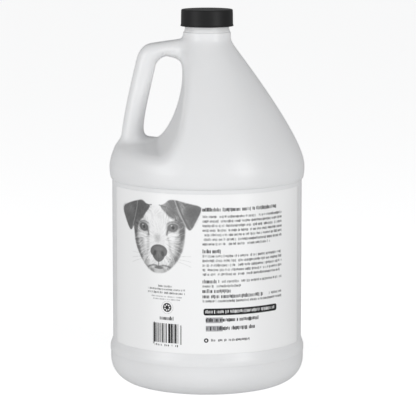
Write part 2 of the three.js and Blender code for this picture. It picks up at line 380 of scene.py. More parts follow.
# %% The field of the whole jug
HANDLE_HALF_WIDTH = 12.0
HANDLE_ROUND = 8.2
SIDE_DRAFT = math.tan(math.radians(4.5))
FLOOR_DRAFT = math.tan(math.radians(7.5))
POCKET_MIDDLE = 235.0
POCKET_HALF_HEIGHT = 25.0
POCKET_TOP_SHARE = -0.6
POCKET_BLEND = 6.5
HANDLE_BLEND = 6.0
FAR = 60.0


def soft_min(a, b, size):
    """The smaller of two fields, with a fillet where they are about equal."""
    h = np.maximum(size - np.abs(a - b), 0.0) / size
    return np.minimum(a, b) - h * h * size / 4.0


def handle_field(x, y, z, outline):
    """The arch with its width and round edges."""
    flat = outline_field(x, z, outline) + HANDLE_ROUND
    wide = np.abs(y) - HANDLE_HALF_WIDTH + HANDLE_ROUND
    outside = np.hypot(np.maximum(flat, 0.0), np.maximum(wide, 0.0))
    return outside + np.minimum(np.maximum(flat, wide), 0.0) - HANDLE_ROUND


def pocket_field(x, y, z, outline):
    """The space that the mould's halves leave beside the handle, wider away from the middle."""
    away = np.sqrt(y * y + 9.0) - 3.0
    down = np.clip((POCKET_MIDDLE - z) / POCKET_HALF_HEIGHT, POCKET_TOP_SHARE, 1.0)
    return outline_field(x - away * SIDE_DRAFT, z + away * down * FLOOR_DRAFT, outline)


HANDLE_OUTLINE = handle_outline(10)
POCKET_OUTLINE = pocket_outline(14)


def jug_field(points):
    """The field of the jug's outer shape at points given in millimetres."""
    x, y, z = points[..., 0], points[..., 1], points[..., 2]
    field = body_field(np.hypot(x, y), z)
    # the pocket and the handle are only worked out where they can matter
    near = (x < 14.0) & (field > -48.0) & (z > 170.0)
    cut = np.full(x.shape, FAR)
    cut[near] = pocket_field(x[near], y[near], z[near], POCKET_OUTLINE)
    field = -soft_min(-field, cut, POCKET_BLEND)
    close = (x < 0.0) & (np.abs(y) < 26.0)
    arch = np.full(x.shape, FAR)
    arch[close] = handle_field(x[close], y[close], z[close], HANDLE_OUTLINE)
    return soft_min(field, arch, HANDLE_BLEND)


# %% [markdown]
# ### From the field to a mesh
# A surface net puts one point in every grid cell that the surface passes through, and joins
# neighbouring points with quads. The grid here is round, with an even step in angle, so the
# plain parts of the cone come out as clean rings that continue straight into lathe rings
# below and above. Each point is then moved along the field's slope, back onto the surface.

# %% Helpers for the net
AROUND = 240
ANGLES = (np.arange(AROUND) + 0.5) * 2.0 * math.pi / AROUND
CELL_EDGES = [
    (a, b)
    for a in np.ndindex(2, 2, 2)
    for b in np.ndindex(2, 2, 2)
    if sum(b) == sum(a) + 1 and all(q >= p for p, q in zip(a, b))
]


def round_grid(radii, heights):
    """The corners of a round grid as points, first index angle, then radius, then height."""
    angles = np.arange(AROUND) * 2.0 * math.pi / AROUND
    a, r, z = np.meshgrid(angles, radii, heights, indexing="ij")
    return np.stack([r * np.cos(a), r * np.sin(a), z], axis=-1)


def surface_net(values, radii, heights):
    """Points and quads where the values change sign. Quads face the positive side."""
    count_r, count_z = len(radii) - 1, len(heights) - 1

    def at_corner(c):
        return np.roll(values, -c[0], axis=0)[:, c[1]:c[1] + count_r, c[2]:c[2] + count_z]

    total = np.zeros((AROUND, count_r, count_z, 3))
    hits = np.zeros((AROUND, count_r, count_z, 1))
    for a, b in CELL_EDGES:
        va, vb = at_corner(a), at_corner(b)
        crossed = (va < 0) != (vb < 0)
        share = np.where(crossed, va / np.where(crossed, va - vb, 1.0), 0.0)[..., None]
        meeting = np.array(a) + share * (np.array(b) - np.array(a))
        total += np.where(crossed[..., None], meeting, 0.0)
        hits += crossed[..., None]
    cells = np.argwhere(hits[..., 0] > 0)
    number = np.full(hits.shape[:3], -1)
    number[tuple(cells.T)] = np.arange(len(cells))
    spot = cells + total[tuple(cells.T)] / hits[tuple(cells.T)]
    angle = spot[:, 0] * 2.0 * math.pi / AROUND
    radius = np.interp(spot[:, 1], np.arange(len(radii)), radii)
    height = np.interp(spot[:, 2], np.arange(len(heights)), heights)
    points = np.stack([radius * np.cos(angle), radius * np.sin(angle), height], axis=-1)

    quads = []
    for axis in range(3):
        u, v = np.roll(np.eye(3, dtype=int), -axis - 1, axis=0)[:2]
        corner = np.argwhere(edge_changes(values, axis, count_r, count_z))
        ring = [corner - u, corner, corner - v, corner - u - v]
        four = np.stack([number[c[:, 0] % AROUND, c[:, 1], c[:, 2]] for c in ring], axis=-1)
        backwards = values[tuple(corner.T)] > 0
        four[backwards] = four[backwards, ::-1]
        quads.append(four)
    return points, np.vstack(quads)


def edge_changes(values, axis, count_r, count_z):
    """True where a grid edge along an axis changes sign and has four cells around it."""
    changed = (values < 0) != (np.roll(values, -1, axis=axis) < 0)
    changed[:, count_r:, :] = False
    changed[:, :, count_z:] = False
    if axis != 1:
        changed[:, 0, :] = False
    if axis != 2:
        changed[:, :, 0] = False
    return changed


def settle(points, field, rounds):
    """Moves points along the field's slope until they lie on its surface."""
    step = 0.05
    for _ in range(rounds):
        rises = [field(points + d) - field(points - d) for d in step * np.eye(3)]
        slope = np.stack(rises, axis=-1) / (2.0 * step)
        move = -(field(points) / np.maximum((slope**2).sum(-1), 0.1))[:, None] * slope
        points = points + np.clip(move, -1.0, 1.0)
    return points


def even_out(points, quads, fixed, field, rounds):
    """Spreads the points over the surface, so that the quads come out more alike."""
    a = quads.ravel()
    b = np.roll(quads, -1, axis=1).ravel()
    for _ in range(rounds):
        total = np.zeros_like(points)
        count = np.zeros(len(points))
        for start, end in ((a, b), (b, a)):
            np.add.at(total, start, points[end])
            np.add.at(count, start, 1.0)
        middle = total / count[:, None]
        middle[fixed] = points[fixed]
        points = settle(0.5 * points + 0.5 * middle, field, 1)
    return points


def open_ring(points, quads, top):
    """The points along the net's upper or lower open edge, in order of their angle."""
    pairs = np.stack([quads.ravel(), np.roll(quads, -1, axis=1).ravel()], axis=-1)
    seen = set(map(tuple, pairs.tolist()))
    edge = {a for a, b in seen if (b, a) not in seen}
    middle = points[list(edge), 2].mean()
    ring = [i for i in edge if (points[i, 2] > middle) == top]
    ring.sort(key=lambda i: math.atan2(points[i, 1], points[i, 0]) % (2.0 * math.pi))
    return ring


# %% [markdown]
# ### One closed wall
# The jug is one continuous wall, so its mesh is one closed shell. It is built as a walk: from
# the middle of the base up the outside, through the net of the shoulder and the handle, over
# the lip, down the bore, through the inner net, and down the inside to the base again.

# %% Build the shell of the jug
NET_BOTTOM = 180.5
NET_TOP = 281.5
OUTER_CELL = 1.45
INNER_CELL = 3.2


class Shell:
    """Collects points and faces. A ring is a list of point numbers in order of angle."""

    def __init__(self):
        self.points, self.faces = [], []

    def ring(self, radius, height):
        start = len(self.points)
        for a in ANGLES:
            self.points.append((radius * math.cos(a), radius * math.sin(a), height))
        return list(range(start, start + AROUND))

    def join(self, lower, upper):
        for i in range(len(lower)):
            j = (i + 1) % len(lower)
            self.faces.append((lower[i], lower[j], upper[j], upper[i]))

    def pole(self, height, ring, first):
        """Closes a ring with a fan, where the walk starts or where it ends."""
        self.points.append((0.0, 0.0, height))
        centre = len(self.points) - 1
        for i in range(len(ring)):
            a, b = ring[i], ring[(i + 1) % len(ring)]
            self.faces.append((centre, b, a) if first else (centre, a, b))

    def walk(self, profile, start=None):
        """Rings along a profile, joined in turn. Returns the first and the last ring."""
        first = last = start
        for radius, height in profile:
            new = self.ring(radius, height)
            if last is None:
                first = new
            else:
                self.join(last, new)
            last = new
        return first, last

    def net(self, field, cell, top):
        """A surface net between the lathe rings. Returns its lower and its upper ring."""
        radii = np.arange(8.0, GUARD_RADIUS + 2.0 * cell, cell)
        heights = np.linspace(NET_BOTTOM, top, round((top - NET_BOTTOM) / cell) + 1)
        points, quads = surface_net(field(round_grid(radii, heights)), radii, heights)
        points = settle(points, field, 3)
        low, high = open_ring(points, quads, False), open_ring(points, quads, True)
        points = settle(even_out(points, quads, low + high, field, 6), field, 2)
        start = len(self.points)
        self.points.extend(map(tuple, points))
        self.faces.extend(tuple(q) for q in (quads + start).tolist())
        print("net:", len(points), "points, rings of", len(low), "and", len(high))
        return [i + start for i in low], [i + start for i in high]


def arc(centre, radius, start, end, steps):
    """Points on a circle, with angles in degrees."""
    return [
        (centre[0] + radius * math.cos(math.radians(a)), centre[1] + radius * math.sin(math.radians(a)))
        for a in np.linspace(start, end, steps + 1)
    ]


def tight(point, before, after, size=0.25):
    """A crisp edge: the corner and a point close to it on each side."""
    p, a, b = (np.asarray(v, float) for v in (point, before, after))
    return [tuple(p + (a - p) / np.linalg.norm(a - p) * size), tuple(p),
            tuple(p + (b - p) / np.linalg.norm(b - p) * size)]


def lower_profile(inset):
    """From near the middle of the base to the foot of the net, moved inwards by an inset."""
    stand = STAND_OUTER - STAND_WIDTH
    base = [(r, PUSH_UP + inset) for r in (3.0, 20.0, 38.0, stand - 6.5)]
    dip = bezier(
        [(stand - 6.0, PUSH_UP + inset), (stand - 2.0, PUSH_UP + inset),
         (stand - 1.5, inset), (stand + 1.0, inset)], 7,
    )
    wall_radius = GUARD_RADIUS - HEEL_BEAD
    heel = arc((wall_radius - HEEL_RADIUS, HEEL_RADIUS), HEEL_RADIUS - inset, -90, 0, 20)
    bead = [(wall_radius - inset, HEEL_BEAD_BOTTOM), (wall_radius + 0.1 - inset, HEEL_BEAD_BOTTOM + 0.3)]
    bead += map(tuple, bezier(
        [(wall_radius + 0.25 - inset, HEEL_BEAD_BOTTOM + 0.5),
         (GUARD_RADIUS - inset, HEEL_BEAD_BOTTOM + 0.8),
         (GUARD_RADIUS - inset, HEEL_BEAD_BOTTOM + 2.2)], 4,
    ))
    step_top = (PANEL_RADIUS - inset, PANEL_BOTTOM)
    step = bezier(
        [(GUARD_RADIUS - inset, HEEL_TOP - 0.6), (GUARD_RADIUS - inset, HEEL_TOP + 1.6),
         (GUARD_RADIUS - 0.8 - inset, HEEL_TOP + 3.4)], 8,
    )
    corner_top = bezier(
        [(PANEL_RADIUS - inset, PANEL_TOP - 0.9), (PANEL_RADIUS - inset, PANEL_TOP),
         (PANEL_RADIUS + 0.6 - inset, PANEL_TOP + 0.25)], 4,
    )
    guard = bezier(
        [(PANEL_RADIUS + 0.6 - inset, PANEL_TOP + 0.25), (GUARD_RADIUS - inset, PANEL_TOP + 1.2),
         (GUARD_RADIUS - inset, WIDEST)], 12,
    )
    shoulder = [p for p in SHOULDER if p[1] < NET_BOTTOM - 1.0][::2]
    panel = [(PANEL_RADIUS - inset, z) for z in np.linspace(PANEL_BOTTOM, PANEL_TOP - 0.9, 10)[1:-1]]
    return [
        *base, *map(tuple, dip), *heel, *bead,
        *map(tuple, step), *tight(step_top, step[-1], panel[0]),
        *panel,
        *map(tuple, corner_top), *map(tuple, guard[1:]),
        *[(r - inset, z) for r, z in shoulder[1:]],
    ]


def neck_profile():
    """From the collar over the neck and the lip to the top of the bore."""
    foot = NECK_RADIUS + 0.5
    collar = arc((COLLAR_RADIUS - 0.6, COLLAR_TOP - 0.6), 0.6, 0, 90, 4)
    lip_out = arc((NECK_RADIUS - 0.6, LIP - 0.6), 0.6, 0, 90, 4)
    lip_in = arc((BORE_RADIUS + 0.5, LIP - 0.5), 0.5, 90, 180, 4)
    return [
        *collar,
        (foot + 0.15, COLLAR_TOP), (foot, COLLAR_TOP + 0.15), (foot, COLLAR_TOP + 1.3),
        (foot - 0.12, COLLAR_TOP + 1.6), (NECK_RADIUS + 0.1, COLLAR_TOP + 2.0),
        (NECK_RADIUS, COLLAR_TOP + 2.4), (NECK_RADIUS, 288.0), (NECK_RADIUS, 293.0),
        *lip_out, *lip_in,
        (BORE_RADIUS, 294.0), (BORE_RADIUS, 288.0), (BORE_RADIUS, 283.0),
        (BORE_RADIUS + 0.1, 281.5), (BORE_RADIUS + 0.6, 280.2),
    ]


def jug_shell():
    """The whole wall of the jug as one closed mesh, in millimetres."""
    shell = Shell()
    start, end = shell.walk(lower_profile(0.0))
    shell.pole(PUSH_UP, start, first=True)
    low, high = shell.net(jug_field, OUTER_CELL, NET_TOP)
    shell.join(end, low)
    _, bore = shell.walk(neck_profile(), high)
    low, high = shell.net(lambda p: -(jug_field(p) + WALL), INNER_CELL, NET_TOP - 0.5)
    shell.join(bore, high)
    inside = lower_profile(WALL)[::-1]
    _, end = shell.walk(inside, low)
    shell.pole(PUSH_UP + WALL, end, first=False)
    return shell


def mesh_object(name, points, faces, smooth=True):
    """An object at the origin whose mesh is given in millimetres."""
    mesh = bpy.data.meshes.new(name)
    mesh.from_pydata([tuple(c * MM for c in p) for p in points], [], faces)
    mesh.validate()
    mesh.polygons.foreach_set("use_smooth", [smooth] * len(mesh.polygons))
    obj = bpy.data.objects.new(name, mesh)
    scene.collection.objects.link(obj)
    return obj


def report(obj):
    """Prints the size of a finished piece and whether its mesh is closed."""
    bm = bmesh.new()
    bm.from_mesh(obj.data)
    loose = sum(1 for e in bm.edges if len(e.link_faces) != 2)
    print(obj.name, len(bm.faces), "faces,", loose, "open edges, volume",
          round(bm.calc_volume(signed=True) * 1e6, 2), "cm3")
    bm.free()


shell = jug_shell()
jug = mesh_object("jug", shell.points, shell.faces)
report(jug)

# %% [markdown]
# ### The jug's plastic
# Natural white polyethylene is milky. It is satin, a little light goes into it, and the
# surface keeps a very fine orange peel from the mould.

# %% The white plastic


def milky_plastic():
    """Milky polyethylene with a fine orange peel."""
    material, shader, node, link = new_material(
        "milky_polyethylene", Base_Color=(0.775, 0.776, 0.78, 1.0), Roughness=0.38, IOR=1.5,
        Subsurface_Weight=0.25, Subsurface_Radius=(1.0, 0.95, 0.9), Subsurface_Scale=0.0025,
    )
    peel = texture(node, link, "Noise", Scale=420.0, Detail=2.0)
    add_bump(node, link, shader, peel.outputs["Fac"], 0.10, 0.0004)
    return material


jug.data.materials.append(milky_plastic())
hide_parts("bottle")
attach(jug, "bottle")

# %% [markdown]
# ### The thread of the neck
# The cap runs on a raised helix of six turns to the inch. A helix is a rule, so Geometry Nodes
# make it: a curve is bent into a rising circle, its ends sink into the wall, and a small
# trapezoid is swept along it.

# %% A tree for a thread
THREAD_PITCH = 25.4 / 6.0
THREAD_TURNS = 1.25
NECK_THREAD_START = 289.608
CAP_THREAD_START = 288.567


class Tree:
    """A Geometry Nodes tree in the making, with short ways to add inputs, nodes and links."""

    def __init__(self, name):
        self.tree = bpy.data.node_groups.new(name, "GeometryNodeTree")
        self.tree.interface.new_socket("Geometry", in_out="INPUT", socket_type="NodeSocketGeometry")
        self.tree.interface.new_socket("Geometry", in_out="OUTPUT", socket_type="NodeSocketGeometry")
        self.inputs = self.tree.nodes.new("NodeGroupInput")
        self.values = {}

    def socket(self, name, kind, value):
        """A named input and its value for the modifier."""
        item = self.tree.interface.new_socket(name, in_out="INPUT", socket_type="NodeSocket" + kind)
        self.values[item.identifier] = value
        return self.inputs.outputs[name]

    def node(self, kind, **settings):
        """Adds a node. A setting is a property of the node, or a value or link for an input."""
        made = self.tree.nodes.new(kind)
        for name, value in settings.items():
            if hasattr(made, name):
                setattr(made, name, value)
            else:
                self.set(made.inputs[name.replace("_", " ")], value)
        return made

    def set(self, socket, value):
        if isinstance(value, bpy.types.NodeSocket):
            self.tree.links.new(value, socket)
        else:
            socket.default_value = value

    def math(self, operation, *values):
        made = self.tree.nodes.new("ShaderNodeMath")
        made.operation = operation
        for socket, value in zip(made.inputs, values):
            self.set(socket, value)
        return made.outputs[0]

    def add(self, a, b):
        return self.math("ADD", a, b)

    def sub(self, a, b):
        return self.math("SUBTRACT", a, b)

    def mul(self, a, b):
        return self.math("MULTIPLY", a, b)

    def vector(self, x, y, z):
        made = self.tree.nodes.new("ShaderNodeCombineXYZ")
        for socket, value in zip(made.inputs, (x, y, z)):
            self.set(socket, value)
        return made.outputs[0]

    def finish(self, geometry, material):
        """Ends the tree, runs it on an empty mesh and returns the result as a plain object."""
        real = self.node("GeometryNodeRealizeInstances")
        self.set(real.inputs[0], geometry)
        painted = self.node("GeometryNodeSetMaterial", Material=material)
        self.set(painted.inputs[0], real.outputs[0])
        self.set(self.node("NodeGroupOutput").inputs[0], painted.outputs[0])
        name = self.tree.name
        maker = bpy.data.objects.new(name + "_maker", bpy.data.meshes.new(name + "_maker"))
        scene.collection.objects.link(maker)
        modifier = maker.modifiers.new("nodes", "NODES")
        modifier.node_group = self.tree
        for identifier, value in self.values.items():
            modifier[identifier] = value
        done = maker.evaluated_get(bpy.context.evaluated_depsgraph_get())
        mesh = bpy.data.meshes.new_from_object(done)
        mesh.materials.clear()
        mesh.materials.append(material)
        mesh.polygons.foreach_set("material_index", [0] * len(mesh.polygons))
        obj = bpy.data.objects.new(name, mesh)
        scene.collection.objects.link(obj)
        bpy.data.objects.remove(maker)
        return obj


def thread(name, material, radius, start_height, start_angle, turns, depth, base, crest, inward):
    """A helical ridge on a cylinder, on its outside or, inward, on its inside."""
    tree = Tree(name)
    size = tree.socket("Radius", "Float", radius * MM)
    pitch = tree.socket("Pitch", "Float", THREAD_PITCH * MM)
    turn = tree.socket("Turns", "Float", float(turns))
    low = tree.socket("Start height", "Float", start_height * MM)
    first = tree.socket("Start angle", "Float", math.radians(start_angle))
    sink = tree.socket("Run out", "Float", (depth - 0.05 if inward else -depth) * MM)
    steps = int(turns * 96)
    line = tree.node("GeometryNodeCurvePrimitiveLine").outputs[0]
    points = tree.node("GeometryNodeResampleCurve", Curve=line, Count=steps + 1)
    share = tree.math("DIVIDE", tree.node("GeometryNodeInputIndex").outputs[0], float(steps))
    swept = tree.mul(tree.mul(share, turn), 2.0 * math.pi)
    angle = tree.add(swept, first)
    to_end = tree.math("MINIMUM", share, tree.sub(1.0, share))
    out = tree.sub(1.0, tree.math("MINIMUM", tree.mul(to_end, 14.0), 1.0))
    radial = tree.add(size, tree.mul(out, sink))
    height = tree.add(low, tree.mul(tree.mul(share, turn), pitch))
    place = tree.vector(
        tree.mul(radial, tree.math("COSINE", angle)),
        tree.mul(radial, tree.math("SINE", angle)),
        height,
    )
    bent = tree.node("GeometryNodeSetPosition", Geometry=points.outputs[0], Position=place)
    upright = tree.node("GeometryNodeSetCurveNormal", mode="Z_UP", Curve=bent.outputs[0])
    section = thread_section(tree, depth, base, crest, inward)
    ridge = tree.node("GeometryNodeCurveToMesh", Curve=upright.outputs[0], Profile_Curve=section,
                      Fill_Caps=True)
    return tree.finish(ridge.outputs[0], material)


def thread_section(tree, depth, base, crest, inward):
    """The trapezoid of the thread, with a little of its root inside the wall."""
    reach = -depth if inward else depth
    root = 0.1 if inward else -0.4
    quad = tree.node("GeometryNodeCurvePrimitiveQuadrilateral", mode="POINTS")
    corners = ((root, -base / 2), (reach, -crest / 2), (reach, crest / 2), (root, base / 2))
    for socket, (x, y) in zip([i for i in quad.inputs if i.name.startswith("Point")], corners):
        socket.default_value = (x * MM, y * MM, 0.0)
    return quad.outputs[0]


def outwards(obj):
    """Merges doubles and turns all faces of a closed mesh outwards."""
    bm = bmesh.new()
    bm.from_mesh(obj.data)
    bmesh.ops.remove_doubles(bm, verts=bm.verts, dist=1e-7)
    bmesh.ops.recalc_face_normals(bm, faces=bm.faces)
    if bm.calc_volume(signed=True) < 0:
        bmesh.ops.reverse_faces(bm, faces=bm.faces)
    bm.to_mesh(obj.data)
    bm.free()
    report(obj)


neck_thread = thread(
    "neck_thread", jug.data.materials[0], NECK_RADIUS, NECK_THREAD_START, start_angle=3.75,
    turns=THREAD_TURNS, depth=1.2, base=2.0, crest=1.0, inward=False,
)
outwards(neck_thread)
print("thread box", [tuple(round(c * 1000, 2) for c in v) for v in neck_thread.bound_box][::6])
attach(neck_thread, "bottle")

# %% [markdown]
# ## The cap
# The cap is an injection-moulded shell: a straight skirt with a thin flared rim at the bottom,
# where the tamper band was, and a flat top with a small round edge. The plastic is black and
# satin, with a fine spark-eroded grain that keeps fingerprints from showing.

# %% The shell of the cap
CAP_BOTTOM = cap_low.z / MM
CAP_TOP = cap_high.z / MM
CAP_RIM_RADIUS = cap_high.x / MM
CAP_RADIUS = CAP_RIM_RADIUS - 0.35
CAP_BORE = 19.4
CAP_CEILING = CAP_TOP - 1.4
CAP_AROUND = 160


def lathe(name, profile, around):
    """A closed lathe shape from a profile that starts and ends on the axis."""
    points, faces = [(0.0, 0.0, profile[0][1])], []
    for radius, height in profile[1:-1]:
        for i in range(around):
            a = 2.0 * math.pi * (i + 0.5) / around
            points.append((radius * math.cos(a), radius * math.sin(a), height))
    points.append((0.0, 0.0, profile[-1][1]))
    rings = len(profile) - 2
    for i in range(around):
        j = (i + 1) % around
        faces.append((0, 1 + j, 1 + i))
        last = 1 + (rings - 1) * around
        faces.append((last + i, last + j, len(points) - 1))
        for k in range(rings - 1):
            a, b = 1 + k * around, 1 + (k + 1) * around
            faces.append((a + i, a + j, b + j, b + i))
    return mesh_object(name, points, faces)


def cap_profile():
    """From the middle of the ceiling inside, down the bore, round the rim and over the top."""
    return [
        (0.0, CAP_CEILING), (6.0, CAP_CEILING), (CAP_BORE - 1.2, CAP_CEILING),
        *arc((CAP_BORE - 0.5, CAP_CEILING - 0.5), 0.5, 90, 0, 3),
        (CAP_BORE, CAP_CEILING - 1.2), (CAP_BORE, 293.0), (CAP_BORE, CAP_BOTTOM + 0.9),
        (CAP_BORE + 0.2, CAP_BOTTOM + 0.25), (CAP_BORE + 0.45, CAP_BOTTOM),
        (CAP_RIM_RADIUS - 0.35, CAP_BOTTOM),
        *arc((CAP_RIM_RADIUS - 0.25, CAP_BOTTOM + 0.25), 0.25, -90, 0, 3),
        (CAP_RIM_RADIUS, CAP_BOTTOM + 0.75), (CAP_RIM_RADIUS - 0.1, CAP_BOTTOM + 0.95),
        (CAP_RADIUS + 0.05, CAP_BOTTOM + 1.05), (CAP_RADIUS, CAP_BOTTOM + 1.25),
        (CAP_RADIUS - 0.05, 291.0), (CAP_RADIUS - 0.12, 296.0),
        *arc((CAP_RADIUS - 1.1, CAP_TOP - 0.9), 0.9, 0, 90, 7),
        (CAP_RADIUS - 2.0, CAP_TOP - 0.02), (12.0, CAP_TOP - 0.03), (4.0, CAP_TOP - 0.03),
        (0.0, CAP_TOP - 0.03),
    ]


def black_plastic():
    """Black satin plastic with a fine grain, shinier in some places than in others."""
    material, shader, node, link = new_material(
        "black_cap_plastic", Base_Color=(0.0085, 0.0085, 0.009, 1.0), Specular_IOR_Level=0.22
    )
    wear = texture(node, link, "Noise", Scale=90.0, Detail=4.0)
    rough = node("ShaderNodeMapRange")
    rough.inputs["To Min"].default_value = 0.42
    rough.inputs["To Max"].default_value = 0.56
    link(wear.outputs["Fac"], rough.inputs["Value"])
    link(rough.outputs["Result"], shader.inputs["Roughness"])
    grain = texture(node, link, "Noise", Scale=2600.0, Detail=3.0)
    add_bump(node, link, shader, grain.outputs["Fac"], 0.25, 0.00008)
    return material


cap_shell = lathe("cap_shell", cap_profile(), CAP_AROUND)
outwards(cap_shell)
cap_shell.data.materials.append(black_plastic())
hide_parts("screw_cap")
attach(cap_shell, "cap")

# %% [markdown]
# The cap's own thread stands inwards from its bore, half a pitch below the neck's thread, so
# that each ridge runs in the other's groove.

# %% The thread in the cap
cap_thread = thread(
    "cap_thread", cap_shell.data.materials[0], CAP_BORE, CAP_THREAD_START, start_angle=93.75,
    turns=THREAD_TURNS, depth=1.3, base=1.6, crest=0.8, inward=True,
)
outwards(cap_thread)
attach(cap_thread, "cap")

# %% [markdown]
# ## The liner
# A thin disc of foam seals the cap against the lip. Its cells show as small shallow pits, and
# the lip has pressed a faint ring into it.

# %% The foam liner
LINER_RADIUS = liner_high.x / MM
LINER_LOW, LINER_HIGH = liner_low.z / MM, liner_high.z / MM
PRESS = 0.12


def liner_profile():
    """A disc with soft edges and a pressed ring over the lip."""
    lip = (NECK_RADIUS + BORE_RADIUS) / 2.0
    ring = [
        (r, LINER_LOW + PRESS * math.exp(-(((r - lip) / 0.7) ** 2)))
        for r in np.linspace(14.6, 18.4, 16)
    ]
    return [
        (0.0, LINER_LOW), (6.0, LINER_LOW), *ring,
        *arc((LINER_RADIUS - 0.25, LINER_LOW + 0.25), 0.25, -90, 0, 3),
        *arc((LINER_RADIUS - 0.25, LINER_HIGH - 0.25), 0.25, 0, 90, 3),
        (9.0, LINER_HIGH), (0.0, LINER_HIGH),
    ]


def foam():
    """Off-white foam with the shallow pits of its cells."""
    material, shader, node, link = new_material("liner_foam", Roughness=0.85)
    cells = texture(node, link, "Voronoi", Scale=1900.0)
    colour = node("ShaderNodeValToRGB")
    colour.color_ramp.elements[0].color = (0.80, 0.80, 0.77, 1.0)
    colour.color_ramp.elements[1].color = (0.90, 0.90, 0.88, 1.0)
    link(cells.outputs["Distance"], colour.inputs["Fac"])
    link(colour.outputs["Color"], shader.inputs["Base Color"])
    add_bump(node, link, shader, cells.outputs["Distance"], 0.5, 0.0001).invert = True
    return material


liner_disc = lathe("liner_disc", liner_profile(), 120)
outwards(liner_disc)
liner_disc.data.materials.append(foam())
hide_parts("cap_liner")
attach(liner_disc, "liner")

# %% [markdown]
# ## The labels
# Each label is a printed film, wrapped round the recessed panel. It is built flat, as it was
# printed, with a distance along the label and a height, and then wrapped on the panel's
# radius. Ink lies on it as very thin raised marks, so that the print is geometry too.

# %% The label films
LABEL_HALF_ANGLE = math.radians(71.4)
LABEL_RADIUS = PANEL_RADIUS + 0.16
LABEL_FILM = 0.12
LABEL_BOTTOM = 36.0
LABEL_TOP = label_high.z / MM
LABEL_CORNER = 3.0
INK = 0.03


def wrap(along, height, out=0.0, back=True):
    """A flat place on a label, wrapped round the panel."""
    a = along / LABEL_RADIUS
    side = 1.0 if back else -1.0
    r = LABEL_RADIUS + out
    return (side * r * math.sin(a), -side * r * math.cos(a), height)


def label_film(name, back):
    """A thin closed sheet with round corners."""
    half = LABEL_HALF_ANGLE * LABEL_RADIUS
    turn = np.linspace(0.0, math.pi / 2.0, 7)
    dips = LABEL_CORNER * (1.0 - np.cos(turn))
    heights = [*(LABEL_BOTTOM + LABEL_CORNER - LABEL_CORNER * np.cos(turn)),
               *np.linspace(LABEL_BOTTOM + LABEL_CORNER, LABEL_TOP - LABEL_CORNER, 14)[1:-1],
               *(LABEL_TOP - LABEL_CORNER + LABEL_CORNER * np.sin(turn))]
    widths = [*(half - LABEL_CORNER * (1.0 - np.sin(turn))), *[half] * 12, *(half - dips)]
    columns = 120
    points, faces = [], []
    for out in (0.0, -LABEL_FILM):
        for height, width in zip(heights, widths):
            points += [wrap(width * (2.0 * i / columns - 1.0), height, out, back) for i in range(columns + 1)]
    row, rows = columns + 1, len(heights)
    under = row * rows
    for j in range(rows - 1):
        for i in range(columns):
            a = j * row + i
            faces.append((a, a + 1, a + row + 1, a + row))
            faces.append((a + under, a + row + under, a + row + 1 + under, a + 1 + under))
    rim = [*range(row), *[j * row + columns for j in range(1, rows)],
           *[(rows - 1) * row + i for i in range(columns - 1, -1, -1)],
           *[j * row for j in range(rows - 2, 0, -1)]]
    for a, b in zip(rim, rim[1:] + rim[:1]):
        faces.append((a, a + under, b + under, b))
    return mesh_object(name, points, faces)


def label_material():
    """White satin film, with a trace of the panel's waves."""
    material, shader, node, link = new_material(
        "white_label_film", Base_Color=grey(0.84), Roughness=0.34
    )
    waves = texture(node, link, "Noise", Scale=38.0, Detail=1.0)
    add_bump(node, link, shader, waves.outputs["Fac"], 0.08, 0.0006)
    return material


film_material = label_material()
for name, back in (("back_label", True), ("front_label", False)):
    film = label_film(name + "_film", back)
    outwards(film)
    film.data.materials.append(film_material)
    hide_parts(name)
    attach(film, "bottle")

# %% [markdown]
# ### Blocks of text
# A real label carries words. A reusable part names nobody, so each line here is only a row of
# small upright marks with gaps, as in a layout sketch. Rows of marks follow a rule, so they
# are Geometry Nodes: points are counted off, gaps are drawn at random from a fixed seed, and
# the flat result is wrapped round the panel at the end.

# %% A tree for rows of marks


def ink_material(name, colour):
    """Printing ink, with a little mottle where it has soaked in unevenly."""
    material, shader, node, link = new_material(name, Roughness=0.45, Specular_IOR_Level=0.3)
    mottle = texture(node, link, "Noise", Scale=700.0)
    ramp = node("ShaderNodeValToRGB")
    ramp.color_ramp.elements[0].color = (*[c * 0.75 for c in colour], 1.0)
    ramp.color_ramp.elements[1].color = (*[min(c * 1.3, 1.0) for c in colour], 1.0)
    link(mottle.outputs["Fac"], ramp.inputs["Fac"])
    link(ramp.outputs["Color"], shader.inputs["Base Color"])
    return material


black_ink = ink_material("black_ink", (0.012, 0.012, 0.013))
grey_ink = ink_material("grey_ink", (0.36, 0.36, 0.37))
white_ink = ink_material("white_ink", (0.8, 0.8, 0.8))


def wrap_nodes(tree, geometry, radius):
    """Wraps flat marks, whose Z is their height above the film, round the panel."""
    place = tree.node("ShaderNodeSeparateXYZ")
    tree.set(place.inputs[0], tree.node("GeometryNodeInputPosition").outputs[0])
    angle = tree.math("DIVIDE", place.outputs["X"], radius)
    out = tree.add(radius, place.outputs["Z"])
    wrapped = tree.vector(
        tree.mul(out, tree.math("SINE", angle)),
        tree.mul(tree.mul(out, -1.0), tree.math("COSINE", angle)),
        place.outputs["Y"],
    )
    return tree.node("GeometryNodeSetPosition", Geometry=geometry, Position=wrapped).outputs[0]


def stamped(tree, points, mark, scale=(1.0, 1.0, 1.0)):
    """A copy of one mark at each point, as real geometry."""
    marks = tree.node("GeometryNodeInstanceOnPoints", Points=points.outputs[0],
                      Instance=mark.outputs[0], Scale=scale)
    return tree.node("GeometryNodeRealizeInstances", Geometry=marks.outputs[0]).outputs[0]


def placed_points(tree, count, position, drop):
    """Counted points at their positions, without those to drop."""
    points = tree.node("GeometryNodePoints", Count=count)
    placed = tree.node("GeometryNodeSetPosition", Geometry=points.outputs[0], Position=position)
    return tree.node("GeometryNodeDeleteGeometry", domain="POINT", Geometry=placed.outputs[0],
                     Selection=drop)


